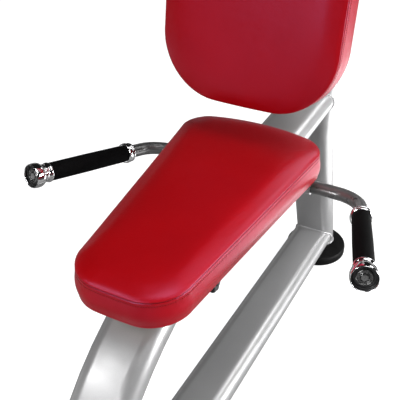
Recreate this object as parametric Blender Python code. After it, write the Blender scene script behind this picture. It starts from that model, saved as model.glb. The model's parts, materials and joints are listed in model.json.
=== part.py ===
"""A free-standing roman chair: a tapered seat and a backrest on a loop frame of flat-oval tube, with two side grips.

Metres, +Z up. The origin is on the floor, midway between the feet. The sitter faces -Y, and +X is their left.
The seat slides on the frame's rail and is held by a clamp screw with a hand knob.
"""

import math

import bmesh
import bpy
from mathutils import Matrix, Vector

X_AXIS = Vector((1, 0, 0))
Y_AXIS = Vector((0, 1, 0))
Z_AXIS = Vector((0, 0, 1))

GAP = 0.0003  # between faces that touch on the real object
SIDES = {"left": 1, "right": -1}  # the sitter's left is +X

# Frame tube, a flat oval whose wide faces look up, forward or down
TUBE_WIDTH = 0.100
TUBE_THICKNESS = 0.050
TUBE_WALL = 0.003
TUBE_ROUND = TUBE_THICKNESS / 2
TUBE_FLAT = TUBE_WIDTH / 2 - TUBE_ROUND  # half the width of the flat face
COPE_WRAP = 0.88  # how far a coped end follows the rounded side, as a share of its radius
COPE_GAP = 0.0005

# Feet
WHEELBASE = 1.120
REAR_Y = WHEELBASE / 2
FRONT_Y = -WHEELBASE / 2
DISC_RADIUS = 0.081
DISC_HEIGHT = 0.023
FRONT_TRACK = 0.440
CROSS_TUBE_LENGTH = 0.580
FOOT_POCKET_RADIUS = 0.014  # under each disc, for its bolt's head
FOOT_POCKET_DEPTH = 0.009
FOOT_BOSS_RADIUS = 0.027
FOOT_BOSS_HEIGHT = 0.024
FOOT_PLATE = 0.004

# Plugs in the open tube ends
PLUG_DEPTH = 0.014
PLUG_RIM = 0.003
PLUG_HEIGHT = 0.005

# Fasteners: a hexagon's radius is measured to its flats
BOLT_HEAD_RADIUS = 0.0065
BOLT_HEAD_HEIGHT = 0.0053
BOLT_RADIUS = 0.004
BOLT_HOLE = 0.0043
BOLT_LENGTH = 0.015
NUT_HEIGHT = 0.0065
FOOT_BOLT_HEAD_RADIUS = 0.0085
FOOT_BOLT_HEAD_HEIGHT = 0.006
FOOT_BOLT_RADIUS = 0.005
FOOT_BOLT_HOLE = 0.0053
FOOT_BOLT_LENGTH = 0.030
CAP_SCREW_HEAD_RADIUS = 0.0055
CAP_SCREW_HEAD_HEIGHT = 0.003
CAP_SCREW_LENGTH = 0.022

# Frame centre lines, in the plane X = 0
POST_LEAN = 0.333  # metres forward for each metre up
POST_FLOOR_Y = REAR_Y + 0.005
POST_Y = 0.407
POST_TOP = 0.930
POST_BEND = 0.150
RAIL_Z = 0.548
LEG_BEND = 0.358
BASE_REAR_Z = 0.077
BASE_RISE = 0.0736  # metres up for each metre forward

# Seat, level, on its carriage
SEAT_REAR_Y = 0.0753
SEAT_LENGTH = 0.4745
SEAT_REAR_HALF = 0.1296
SEAT_FRONT_HALF = 0.0868
SEAT_REAR_CORNER = 0.034
SEAT_FRONT_CORNER = 0.058
SEAT_REAR_BULGE = 0.026
SEAT_FRONT_BULGE = 0.004
SEAT_SIDE_BOW = 0.0045
SEAT_SEAM_Z = 0.6248
SEAT_UNDERSIDE_Z = 0.5795
SEAT_CROWN = 0.011
SEAT_EDGE = 0.016

# Backrest, reclined about its lower front edge
BACK_Y = 0.009
BACK_Z = 0.7145
BACK_RECLINE = math.radians(8.7)
BACK_HALF = 0.1528
BACK_HEIGHT = 0.430
BACK_LOW_CORNER = 0.1006
BACK_HIGH_CORNER = 0.075
BACK_BULGE = 0.008
BACK_THICKNESS = 0.0595
BACK_CROWN = 0.010
BACK_EDGE = 0.015
BACK_ARM_Z = 0.868
BACK_ARM_SIDE = 0.050
BACK_ARM_WALL = 0.003
BACK_PLATE = (0.150, 0.200, 0.005)
BACK_BOLT_SPACING = (0.110, 0.160)

BOARD_THICKNESS = 0.012
BOARD_INSET = 0.010
PAD_LOWER_ROUND = 0.004  # where the cover turns under the seat's pad
PAD_REAR_ROUND = 0.003  # and behind the backrest's

# Seat carriage and its clamp
CARRIAGE_FRONT_Y = -0.275
CARRIAGE_REAR_Y = -0.030
CARRIAGE_HALF = 0.0935
CARRIAGE_PLATE = 0.004
SEAT_BOLT_X = 0.073
SEAT_BOLT_Y = (CARRIAGE_FRONT_Y + 0.040, CARRIAGE_REAR_Y - 0.030)
CHEEK_THICKNESS = 0.004
CHEEK_FRONT_Y = -0.270
CHEEK_STEP_Y = -0.145  # the cheek's lower edge slopes up from here to its front
CHEEK_REAR_Y = -0.045
CHEEK_FRONT_FOOT_Z = 0.534
CHEEK_REAR_FOOT_Z = 0.507
RETAINING_BOLT_Y = (-0.128, -0.062)
RETAINING_BOLT_DROP = 0.006  # below the rail, to the bolts' middle
GLIDE_THICKNESS = 0.0021
SIDE_GLIDE = (0.120, 0.018)
SIDE_GLIDE_Y = -0.125
TOP_GLIDE = (0.044, 0.150)
TOP_GLIDE_Y = -0.115
SEAT_TRAVEL = 0.080
STOP_LENGTH = 0.014
STOP_WIDTH = 0.040
CLAMP_Y = -0.249
CLAMP_SCREW_RADIUS = 0.005
CLAMP_BOSS_RADIUS = 0.010
CLAMP_BOSS_LENGTH = 0.007
KNOB_RADIUS = 0.013
KNOB_LENGTH = 0.016
KNOB_NECK_RADIUS = 0.0085
KNOB_LOBES = 5
KNOB_HOLLOW = 0.003

# Handles
HANDLE_Y = 0.0625
HANDLE_RADIUS = 0.012
HANDLE_WALL = 0.002
HANDLE_BEND = 0.055
HANDLE_CORNER_X = 0.2069
HANDLE_DIRECTION = Vector((0.2699, -0.9374, 0.2216)).normalized()
SOCKET_RADIUS = 0.015
SOCKET_END_X = 0.118
GRIP_START = 0.0697  # along the grip, from the corner of the handle's centre line
GRIP_RADIUS = 0.0158
COLLAR_RADIUS = 0.0190
CAP_RADIUS = 0.0213
COLLAR_LENGTH = 0.016
GRIP_LENGTH = 0.171
NECK_RADIUS = 0.0175
NECK_LENGTH = 0.014
CAP_LENGTH = 0.022
CAP_WALL = 0.0035
CAP_FLOOR = 0.012  # thickness of metal under the cap's well
CAP_BORE = 0.0045
INSERT_FLOOR = 0.0025

TUBE_ARC_STEPS = 8
ARC_STEPS = 5
TURN_STEPS = 24
SMALL_TURN_STEPS = 12


# Materials

def material(name, colour, roughness, metallic=0.0):
    made = bpy.data.materials.new(name)
    made.use_nodes = True
    shader = made.node_tree.nodes["Principled BSDF"]
    shader.inputs["Base Color"].default_value = (*colour, 1)
    shader.inputs["Roughness"].default_value = roughness
    shader.inputs["Metallic"].default_value = metallic
    made.diffuse_color = (*colour, 1)
    return made


def all_materials():
    return {
        "frame_paint": material("frame_paint", (0.30, 0.30, 0.31), 0.35, 0.5),
        "handle_paint": material("handle_paint", (0.22, 0.22, 0.23), 0.25, 0.7),
        "leatherette": material("leatherette", (0.42, 0.006, 0.014), 0.38),
        "board_wood": material("board_wood", (0.32, 0.22, 0.13), 0.7),
        "rubber": material("rubber", (0.012, 0.012, 0.012), 0.75),
        "grip_foam": material("grip_foam", (0.010, 0.010, 0.011), 0.85),
        "chrome": material("chrome", (0.75, 0.75, 0.76), 0.08, 1.0),
        "black_plastic": material("black_plastic", (0.015, 0.015, 0.016), 0.45),
        "nylon": material("nylon", (0.55, 0.55, 0.52), 0.5),
        "zinc_steel": material("zinc_steel", (0.45, 0.45, 0.44), 0.35, 1.0),
    }


# Outlines: closed lists of (u, v) points, counter-clockwise

def arc(centre, radius, start, end, steps=ARC_STEPS):
    """Points on an arc between two angles in degrees."""
    angles = [math.radians(start + (end - start) * i / steps) for i in range(steps + 1)]
    return [(centre[0] + radius * math.cos(a), centre[1] + radius * math.sin(a)) for a in angles]


def circle(radius, steps=TURN_STEPS):
    return arc((0, 0), radius, 0, 360 * (steps - 1) / steps, steps - 1)


def fillet(before, corner, after, radius, steps):
    """Points along the arc that rounds the corner between its neighbours."""
    arriving = (corner - before).normalized()
    leaving = (after - corner).normalized()
    angle = arriving.angle(leaving)
    start = corner - arriving * radius * math.tan(angle / 2)
    inward = (leaving - arriving * arriving.dot(leaving)).normalized()
    turns = [angle * i / steps for i in range(steps + 1)]
    return [start + arriving * radius * math.sin(turn) + inward * radius * (1 - math.cos(turn)) for turn in turns]


def rounded_polygon(corners, radius, steps=3):
    corners = [Vector(corner) for corner in corners]
    points = []
    for i, corner in enumerate(corners):
        points += fillet(corners[i - 1], corner, corners[(i + 1) % len(corners)], radius, steps)
    return [tuple(point) for point in points]


def rounded_rectangle(width, height, radius, steps=3):
    u, v = width / 2, height / 2
    return rounded_polygon([(u, v), (-u, v), (-u, -v), (u, -v)], radius, steps)


def flat_oval(inset=0.0):
    """The frame tube's section, or the inside of its wall when it is inset."""
    radius = TUBE_ROUND - inset
    right = arc((TUBE_FLAT, 0), radius, -90, 90, TUBE_ARC_STEPS)
    left = arc((-TUBE_FLAT, 0), radius, 90, 270, TUBE_ARC_STEPS)
    return right + left


def hexagon(radius, steps=SMALL_TURN_STEPS):
    """A hexagon of this inner radius, with as many points as a circle so that the two can be lofted."""
    points = []
    for u, v in circle(1, steps):
        angle = math.atan2(v, u)
        from_flat = (angle + math.pi / 6) % (math.pi / 3) - math.pi / 6
        points.append((u * radius / math.cos(from_flat), v * radius / math.cos(from_flat)))
    return points


def lobed(radius, depth, lobes, steps=30):
    """A hand knob's outline: a circle with a finger hollow between every two lobes."""
    points = []
    for i in range(steps):
        angle = 2 * math.pi * i / steps
        reach = radius - depth * (0.5 - 0.5 * math.cos(lobes * angle))
        points.append((reach * math.cos(angle), reach * math.sin(angle)))
    return points


def between(start, end, parts):
    """The points that divide the line from start to end into equal parts."""
    shares = [i / parts for i in range(1, parts)]
    return [(start[0] + (end[0] - start[0]) * t, start[1] + (end[1] - start[1]) * t) for t in shares]


def seat_outline(inset=0.0):
    """The seat from above, (x, y): a taper with round corners and gently bowed ends and sides."""
    rear_half, front_half = SEAT_REAR_HALF - inset, SEAT_FRONT_HALF - inset
    rear_y, front_y = SEAT_REAR_Y - inset, SEAT_REAR_Y - SEAT_LENGTH + inset
    rear_corner = max(SEAT_REAR_CORNER - inset / 2, inset / 4)
    front_corner = SEAT_FRONT_CORNER - inset / 2
    front = arc((front_half - front_corner, front_y + front_corner), front_corner, -90, 0)
    rear = arc((rear_half - rear_corner, rear_y - rear_corner), rear_corner, 0, 90)
    half = front + between(front[-1], rear[0], 6) + rear
    middle_y = (rear_y + front_y) / 2
    bowed = []
    for x, y in half:
        if y > middle_y:
            bow = SEAT_REAR_BULGE * max(0, 1 - (x / rear_half) ** 2)
        else:
            bow = -SEAT_FRONT_BULGE * max(0, 1 - (x / front_half) ** 2)
        bowed.append((x, y + bow))
    rear_bow = [(0, rear_y + SEAT_REAR_BULGE)]
    for share in (0.35, 0.7):
        x = share * (rear_half - rear_corner)
        rear_bow.insert(0, (x, rear_y + SEAT_REAR_BULGE * (1 - (x / rear_half) ** 2)))
    reach = (rear_y - front_y) / 2
    right = []
    for x, y in bowed + rear_bow:
        share = max(0, 1 - ((y - middle_y) / reach) ** 2)
        right.append((x * (1 + SEAT_SIDE_BOW / SEAT_FRONT_HALF * share), y))
    return right + [(-x, y) for x, y in reversed(right[:-1])]


def back_outline(inset=0.0):
    """The backrest in its own plane, (x, height above its lower edge): wide arcs below, tighter ones above."""
    half, low, high = BACK_HALF - inset, inset, BACK_HEIGHT - inset
    low_corner, high_corner = BACK_LOW_CORNER - inset / 2, BACK_HIGH_CORNER - inset / 2
    right = arc((half - low_corner, low + low_corner), low_corner, -90, 0, 7)
    right += arc((half - high_corner, high - high_corner), high_corner, 0, 90)
    bowed = []
    for x, height in right:
        toward_end = 1 - (x / half) ** 2
        bowed.append((x, height + BACK_BULGE * toward_end * (1 if height > BACK_HEIGHT / 2 else -1)))
    return bowed + [(-x, height) for x, height in reversed(bowed)]


# Solids

def loft(rings, closed=False):
    """Joins rings of equally many points, one to the next, and caps both ends or joins the last to the first."""
    mesh = bmesh.new()
    made = [[mesh.verts.new(point) for point in ring] for ring in rings]
    pairs = list(zip(made, made[1:]))
    if closed:
        pairs.append((made[-1], made[0]))
    for ring, following in pairs:
        for i in range(len(ring)):
            j = (i + 1) % len(ring)
            mesh.faces.new((ring[i], ring[j], following[j], following[i]))
    if not closed:
        mesh.faces.new(made[0])
        mesh.faces.new(made[-1])
    bmesh.ops.recalc_face_normals(mesh, faces=mesh.faces)
    return mesh


def add(name, mesh, look, parent=None, matrix=None, sharp=35):
    """Makes the bmesh an object with this material, shaded smooth between edges sharper than the angle."""
    data = bpy.data.meshes.new(name)
    mesh.to_mesh(data)
    mesh.free()
    data.shade_smooth()
    data.set_sharp_from_angle(angle=math.radians(sharp))
    data.materials.append(look)
    made = bpy.data.objects.new(name, data)
    bpy.context.collection.objects.link(made)
    if parent is not None:
        made.parent = parent
        made.matrix_parent_inverse = parent.matrix_world.inverted()
    if matrix is not None:
        made.matrix_world = matrix
    return made


def empty(name, location):
    made = bpy.data.objects.new(name, None)
    made.location = location
    made.empty_display_size = 0.05
    bpy.context.collection.objects.link(made)
    bpy.context.view_layer.update()
    return made


def pointing(location, direction):
    """The matrix that puts a shape's local +Z along the direction, from the location."""
    turn = Vector(direction).to_track_quat("Z", "Y").to_matrix().to_4x4()
    return Matrix.Translation(location) @ turn


def stack(levels):
    """Rings for loft from (outline, height) pairs, along local +Z."""
    return [[Vector((u, v, height)) for u, v in outline] for outline, height in levels]


def turned(profile, closed=False, steps=TURN_STEPS):
    """A solid of revolution about local Z from (radius, height) pairs."""
    return loft(stack([(circle(radius, steps), height) for radius, height in profile]), closed)


def bent(start, corner, end, radius, steps):
    """A path from start to end by way of a corner, which is rounded."""
    start, corner, end = Vector(start), Vector(corner), Vector(end)
    return [start] + fillet(start, corner, end, radius, steps) + [end]


def tangents(path):
    steps = [(b - a).normalized() for a, b in zip(path, path[1:])]
    middle = [(a + b).normalized() for a, b in zip(steps, steps[1:])]
    return [steps[0]] + middle + [steps[-1]]


def travel_to(point, direction, surface):
    """How far the point goes along the direction to reach the surface, a function that is 0 on it."""
    travelled = 0.0
    step = 1e-4
    for _ in range(12):
        here = surface(point + direction * travelled)
        slope = (surface(point + direction * (travelled + step)) - here) / step
        travelled -= here / slope
    return travelled


def tube(path, across, outside, inside, start=None, end=None):
    """Rings of a hollow tube along a path that lies in one plane, whose normal is across.

    start and end are surfaces that cut, or cope, the tube's two ends.
    """
    directions = tangents(path)

    def rings(outline):
        made = []
        for point, direction in zip(path, directions):
            normal = direction.cross(across)
            made.append([point + across * u + normal * v for u, v in outline])
        for ring, direction, surface in ((made[0], directions[0], start), (made[-1], directions[-1], end)):
            if surface is not None:
                ring[:] = [point + direction * travel_to(point, direction, surface) for point in ring]
        return made

    return loft(rings(outside) + rings(inside)[::-1], closed=True)


def drill(target, holes, direction, radius, depth, steps=SMALL_TURN_STEPS):
    """Cuts round holes, each centred on its point and running half the depth either way."""
    cutter = bmesh.new()
    for hole in holes:
        matrix = pointing(hole, direction)
        bmesh.ops.create_cone(cutter, cap_ends=True, segments=steps, radius1=radius, radius2=radius,
                              depth=depth, matrix=matrix)
    data = bpy.data.meshes.new("cutter_" + target.name)
    cutter.to_mesh(data)
    cutter.free()
    tool = bpy.data.objects.new("cutter_" + target.name, data)
    bpy.context.collection.objects.link(tool)
    tool.hide_render = True
    tool.display_type = "WIRE"
    cut = target.modifiers.new("holes", "BOOLEAN")
    cut.operation = "DIFFERENCE"
    cut.solver = "EXACT"
    cut.object = tool


def bolt(length, radius=BOLT_RADIUS, head_radius=BOLT_HEAD_RADIUS, head_height=BOLT_HEAD_HEIGHT):
    """A hexagon bolt: its head is below local Z = 0, and its shank runs up from there."""
    steps = SMALL_TURN_STEPS
    chamfer = head_height / 6
    head = hexagon(head_radius, steps)
    return loft(stack([
        (circle(head_radius * 0.95, steps), -head_height),
        (head, -head_height + chamfer),
        (head, 0),
        (circle(radius, steps), 0),
        (circle(radius, steps), length - chamfer),
        (circle(radius * 0.8, steps), length),
    ]))


def nut():
    steps = SMALL_TURN_STEPS
    rings = [(hexagon(BOLT_HEAD_RADIUS, steps), 0), (hexagon(BOLT_HEAD_RADIUS, steps), NUT_HEIGHT)]
    rings += [(circle(BOLT_HOLE, steps), NUT_HEIGHT), (circle(BOLT_HOLE, steps), 0)]
    return loft(stack(rings), closed=True)


# Surfaces that tubes are coped to, each 0 on the surface

def oval_depth(across, radius=TUBE_ROUND):
    """How far a flat oval's wide face stands from its middle, at this distance across."""
    beyond = min(max(0.0, abs(across) - TUBE_FLAT), radius * COPE_WRAP)
    return math.sqrt(radius ** 2 - beyond ** 2)


def post_axis_y(z):
    return max(POST_FLOOR_Y - POST_LEAN * z, POST_Y)


def leaning_post_front(point):
    slant = math.sqrt(1 + POST_LEAN ** 2)
    return point.y - (POST_FLOOR_Y - POST_LEAN * point.z - oval_depth(point.x) * slant - COPE_GAP)


def upright_post_front(point):
    return point.y - (POST_Y - oval_depth(point.x) - COPE_GAP)


def leg_rear(point):
    return point.y - (FRONT_Y + oval_depth(point.x) + COPE_GAP)


def rail_left_side(point):
    return point.x - (TUBE_FLAT + math.sqrt(TUBE_ROUND ** 2 - (point.z - RAIL_Z) ** 2) + GAP)


def rail_right_side(point):
    return point.x + (TUBE_FLAT + math.sqrt(TUBE_ROUND ** 2 - (point.z - RAIL_Z) ** 2) + GAP)


def level(z):
    return lambda point: point.z - z


def rail_top(y):
    """Height of the rail's upper face, which follows the leg's bend at the front."""
    into_bend = max(0.0, FRONT_Y + LEG_BEND - y)
    outer = LEG_BEND + TUBE_THICKNESS / 2
    return RAIL_Z - LEG_BEND + math.sqrt(outer ** 2 - into_bend ** 2)


def back_point(x, height, depth):
    """A point of the backrest: height up its plane, and depth behind its front seam."""
    up = Vector((0, math.sin(BACK_RECLINE), math.cos(BACK_RECLINE)))
    rearward = Vector((0, math.cos(BACK_RECLINE), -math.sin(BACK_RECLINE)))
    return Vector((x, BACK_Y, BACK_Z)) + up * height + rearward * depth


BACK_NORMAL = back_point(0, 0, 1) - back_point(0, 0, 0)
CROSS_TOP = DISC_HEIGHT + GAP + TUBE_THICKNESS
PLATE_TOP = SEAT_UNDERSIDE_Z - GAP
PLATE_FOOT = PLATE_TOP - CARRIAGE_PLATE
CHEEK_INNER = TUBE_WIDTH / 2 + GLIDE_THICKNESS + 2 * GAP
CHEEK_OUTER = CHEEK_INNER + CHEEK_THICKNESS
ARM_FACE = BACK_THICKNESS + GAP + BACK_PLATE[2] + GAP


# Frame

def add_plug(name, look, frame, centre, direction):
    """A plastic plug: a lip inside the tube and a domed cover over its end."""
    lip = flat_oval(TUBE_WALL + GAP)
    crown = flat_oval(0.0015)
    rings = [(lip, -PLUG_DEPTH), (lip, GAP), (flat_oval(), GAP), (flat_oval(), PLUG_RIM), (crown, PLUG_HEIGHT)]
    across = X_AXIS if abs(direction.x) < 0.5 else Y_AXIS
    normal = direction.cross(across)
    placed = [[centre + across * u + normal * v + direction * h for u, v in ring] for ring, h in rings]
    add(name, loft(placed), look, frame)


def add_frame(looks, frame):
    paint = looks["frame_paint"]
    outside, inside = flat_oval(), flat_oval(TUBE_WALL)

    plate_foot = DISC_HEIGHT + GAP + FOOT_BOSS_HEIGHT + GAP
    foot_top = plate_foot + FOOT_PLATE + GAP
    bend_z = (POST_FLOOR_Y - POST_Y) / POST_LEAN
    post = bent((0, post_axis_y(foot_top), foot_top), (0, POST_Y, bend_z), (0, POST_Y, POST_TOP), POST_BEND, 4)
    add("rear_post", tube(post, X_AXIS, outside, inside, start=level(foot_top)), paint, frame)
    slant = math.sqrt(1 + POST_LEAN ** 2)
    sole = [(u, v * slant) for u, v in outside]
    add("rear_foot_plate", loft(stack([(sole, 0), (sole, FOOT_PLATE)])), paint, frame,
        Matrix.Translation((0, post_axis_y(foot_top), plate_foot)))
    boss = [
        (FOOT_BOLT_HOLE, 0), (FOOT_BOSS_RADIUS, 0), (FOOT_BOSS_RADIUS, FOOT_BOSS_HEIGHT),
        (FOOT_BOLT_HOLE, FOOT_BOSS_HEIGHT),
    ]
    add("rear_foot_boss", turned(boss, closed=True), paint, frame,
        Matrix.Translation((0, REAR_Y, DISC_HEIGHT + GAP)))

    before_cope = 0.1  # the coped ends' paths stop this far short of the surfaces that they are cut to
    rail = bent((0, POST_Y - before_cope, RAIL_Z), (0, FRONT_Y, RAIL_Z), (0, FRONT_Y, CROSS_TOP + GAP), LEG_BEND, 14)
    add("seat_rail_and_leg", tube(rail, X_AXIS, outside, inside, start=upright_post_front), paint, frame)

    def base_z(y):
        return BASE_REAR_Z + BASE_RISE * (REAR_Y - y)

    ends = [Vector((0, y, base_z(y))) for y in (FRONT_Y + before_cope, REAR_Y - before_cope)]
    add("base_tube", tube(ends, X_AXIS, outside, inside, start=leg_rear, end=leaning_post_front), paint, frame)

    cross_z = DISC_HEIGHT + GAP + TUBE_THICKNESS / 2
    half = CROSS_TUBE_LENGTH / 2
    ends = [Vector((x, FRONT_Y, cross_z)) for x in (-half, half)]
    cross = add("front_cross_tube", tube(ends, Y_AXIS, outside, inside), paint, frame)
    bolt_holes = [(x, FRONT_Y, DISC_HEIGHT) for x in (-FRONT_TRACK / 2, FRONT_TRACK / 2)]
    drill(cross, bolt_holes, Z_AXIS, FOOT_BOLT_HOLE, TUBE_THICKNESS / 2)

    for side, sign in SIDES.items():
        add_plug("cross_tube_plug_" + side, looks["black_plastic"], frame,
                 Vector((sign * half, FRONT_Y, cross_z)), X_AXIS * sign)
    add_plug("post_plug", looks["black_plastic"], frame, Vector((0, POST_Y, POST_TOP)), Z_AXIS)


def add_feet(looks, frame):
    chamfer = 0.003
    disc_profile = [
        (FOOT_BOLT_HOLE, FOOT_POCKET_DEPTH), (FOOT_POCKET_RADIUS, FOOT_POCKET_DEPTH), (FOOT_POCKET_RADIUS, 0),
        (DISC_RADIUS, 0), (DISC_RADIUS, DISC_HEIGHT - chamfer), (DISC_RADIUS - chamfer, DISC_HEIGHT),
        (FOOT_BOLT_HOLE, DISC_HEIGHT),
    ]
    places = {
        "rear": (0, REAR_Y),
        "front_left": (FRONT_TRACK / 2, FRONT_Y),
        "front_right": (-FRONT_TRACK / 2, FRONT_Y),
    }
    for name, (x, y) in places.items():
        here = Matrix.Translation((x, y, 0))
        add("foot_disc_" + name, turned(disc_profile, closed=True, steps=32), looks["rubber"], frame, here)
        seated = Matrix.Translation((x, y, FOOT_POCKET_DEPTH - GAP))
        made = bolt(FOOT_BOLT_LENGTH, FOOT_BOLT_RADIUS, FOOT_BOLT_HEAD_RADIUS, FOOT_BOLT_HEAD_HEIGHT)
        add("foot_bolt_" + name, made, looks["zinc_steel"], frame, seated)


def add_stops(looks, frame):
    """Rubber blocks on the rail that end the seat's travel, each just beyond the carriage plate."""
    front_face, rear_face = CARRIAGE_FRONT_Y - GAP, CARRIAGE_REAR_Y + SEAT_TRAVEL + GAP
    ends = {
        "front": (front_face - STOP_LENGTH, front_face),
        "rear": (rear_face, rear_face + STOP_LENGTH),
    }
    top = PLATE_TOP - 0.001  # clear of the seat's board, which passes over
    for name, (near, far) in ends.items():
        profile = [(near, rail_top(near) + GAP), (far, rail_top(far) + GAP), (far, top), (near, top)]
        rings = [[Vector((x, y, z)) for y, z in profile] for x in (-STOP_WIDTH / 2, STOP_WIDTH / 2)]
        add("rail_stop_" + name, loft(rings), looks["rubber"], frame)


# Backrest

def back_rings(levels):
    """Rings for loft from (inset, depth behind the front seam) pairs."""
    return [[back_point(x, height, depth) for x, height in back_outline(inset)] for inset, depth in levels]


def rounded_edge(radius, steps=3):
    """(inset, drop) pairs of a quarter round, from the side wall to the face."""
    angles = [math.pi / 2 * i / steps for i in range(steps + 1)]
    return [(radius * (1 - math.cos(a)), radius * math.sin(a)) for a in angles]


def add_backrest(looks, frame):
    pocket = BACK_THICKNESS - BOARD_THICKNESS - GAP
    face = [(inset, -drop * BACK_CROWN / BACK_EDGE) for inset, drop in rounded_edge(BACK_EDGE)]
    levels = [
        (BOARD_INSET - GAP, pocket), (BOARD_INSET - GAP, BACK_THICKNESS), (PAD_REAR_ROUND, BACK_THICKNESS),
        (0, BACK_THICKNESS - PAD_REAR_ROUND),
    ]
    add("backrest_pad", loft(back_rings(levels + face)), looks["leatherette"], frame)
    board_levels = [(BOARD_INSET, pocket + GAP), (BOARD_INSET, BACK_THICKNESS)]
    board = add("backrest_board", loft(back_rings(board_levels)), looks["board_wood"], frame)

    width, height, thickness = BACK_PLATE
    arm_height = (BACK_ARM_Z - BACK_Z) / math.cos(BACK_RECLINE)
    corner = 0.015
    outline = rounded_rectangle(width, height, corner)
    rings = [[back_point(u, arm_height + v, depth) for u, v in outline]
             for depth in (BACK_THICKNESS + GAP, BACK_THICKNESS + GAP + thickness)]
    plate = add("backrest_plate", loft(rings), looks["frame_paint"], frame)

    half_u, half_v = (spacing / 2 for spacing in BACK_BOLT_SPACING)
    places = [(u, arm_height + v) for v in (-half_v, half_v) for u in (-half_u, half_u)]
    holes = [back_point(u, v, BACK_THICKNESS) for u, v in places]
    drill(plate, holes, BACK_NORMAL, BOLT_HOLE, 4 * thickness)
    drill(board, holes, BACK_NORMAL, BOLT_HOLE, 2 * BOARD_THICKNESS - 0.002)
    for number, (u, v) in enumerate(places, start=1):
        seat = back_point(u, v, BACK_THICKNESS + GAP + thickness + GAP)
        add(f"backrest_bolt_{number}", bolt(BOLT_LENGTH), looks["zinc_steel"], frame,
            pointing(seat, -BACK_NORMAL))

    def plate_rear(point):
        return (point - back_point(0, 0, ARM_FACE)).dot(BACK_NORMAL)

    arm = [Vector((0, y, BACK_ARM_Z)) for y in (BACK_Y + 0.15, POST_Y - 0.05)]
    outer_corner = 0.008
    bore_side = BACK_ARM_SIDE - 2 * BACK_ARM_WALL
    section = rounded_rectangle(BACK_ARM_SIDE, BACK_ARM_SIDE, outer_corner)
    bore = rounded_rectangle(bore_side, bore_side, outer_corner - BACK_ARM_WALL)
    add("backrest_arm", tube(arm, X_AXIS, section, bore, start=plate_rear, end=upright_post_front),
        looks["frame_paint"], frame)


# Seat

def seat_rings(levels):
    return [[Vector((x, y, z)) for x, y in seat_outline(inset)] for inset, z in levels]


def add_seat(looks, seat):
    pocket_z = SEAT_UNDERSIDE_Z + BOARD_THICKNESS + GAP
    face = [(inset, SEAT_SEAM_Z + drop * SEAT_CROWN / SEAT_EDGE) for inset, drop in rounded_edge(SEAT_EDGE)]
    levels = [
        (BOARD_INSET - GAP, pocket_z), (BOARD_INSET - GAP, SEAT_UNDERSIDE_Z), (PAD_LOWER_ROUND, SEAT_UNDERSIDE_Z),
        (0, SEAT_UNDERSIDE_Z + PAD_LOWER_ROUND),
    ]
    add("seat_pad", loft(seat_rings(levels + face)), looks["leatherette"], seat)
    board_levels = [(BOARD_INSET, SEAT_UNDERSIDE_Z), (BOARD_INSET, pocket_z - GAP)]
    board = add("seat_board", loft(seat_rings(board_levels)), looks["board_wood"], seat)

    middle_y = (CARRIAGE_FRONT_Y + CARRIAGE_REAR_Y) / 2
    corner = 0.008
    outline = rounded_rectangle(2 * CARRIAGE_HALF, CARRIAGE_REAR_Y - CARRIAGE_FRONT_Y, corner)
    at_middle = Matrix.Translation((0, middle_y, PLATE_FOOT))
    plate = add("carriage_plate", loft(stack([(outline, 0), (outline, CARRIAGE_PLATE)])),
                looks["frame_paint"], seat, at_middle)
    places = [(sign * SEAT_BOLT_X, y) for y in SEAT_BOLT_Y for sign in (-1, 1)]
    holes = [(x, y, SEAT_UNDERSIDE_Z) for x, y in places]
    drill(plate, holes, Z_AXIS, BOLT_HOLE, 5 * CARRIAGE_PLATE)
    drill(board, holes, Z_AXIS, BOLT_HOLE, 2.5 * BOARD_THICKNESS)
    for number, (x, y) in enumerate(places, start=1):
        add(f"seat_bolt_{number}", bolt(BOLT_LENGTH), looks["zinc_steel"], seat,
            Matrix.Translation((x, y, PLATE_FOOT - GAP)))


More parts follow.
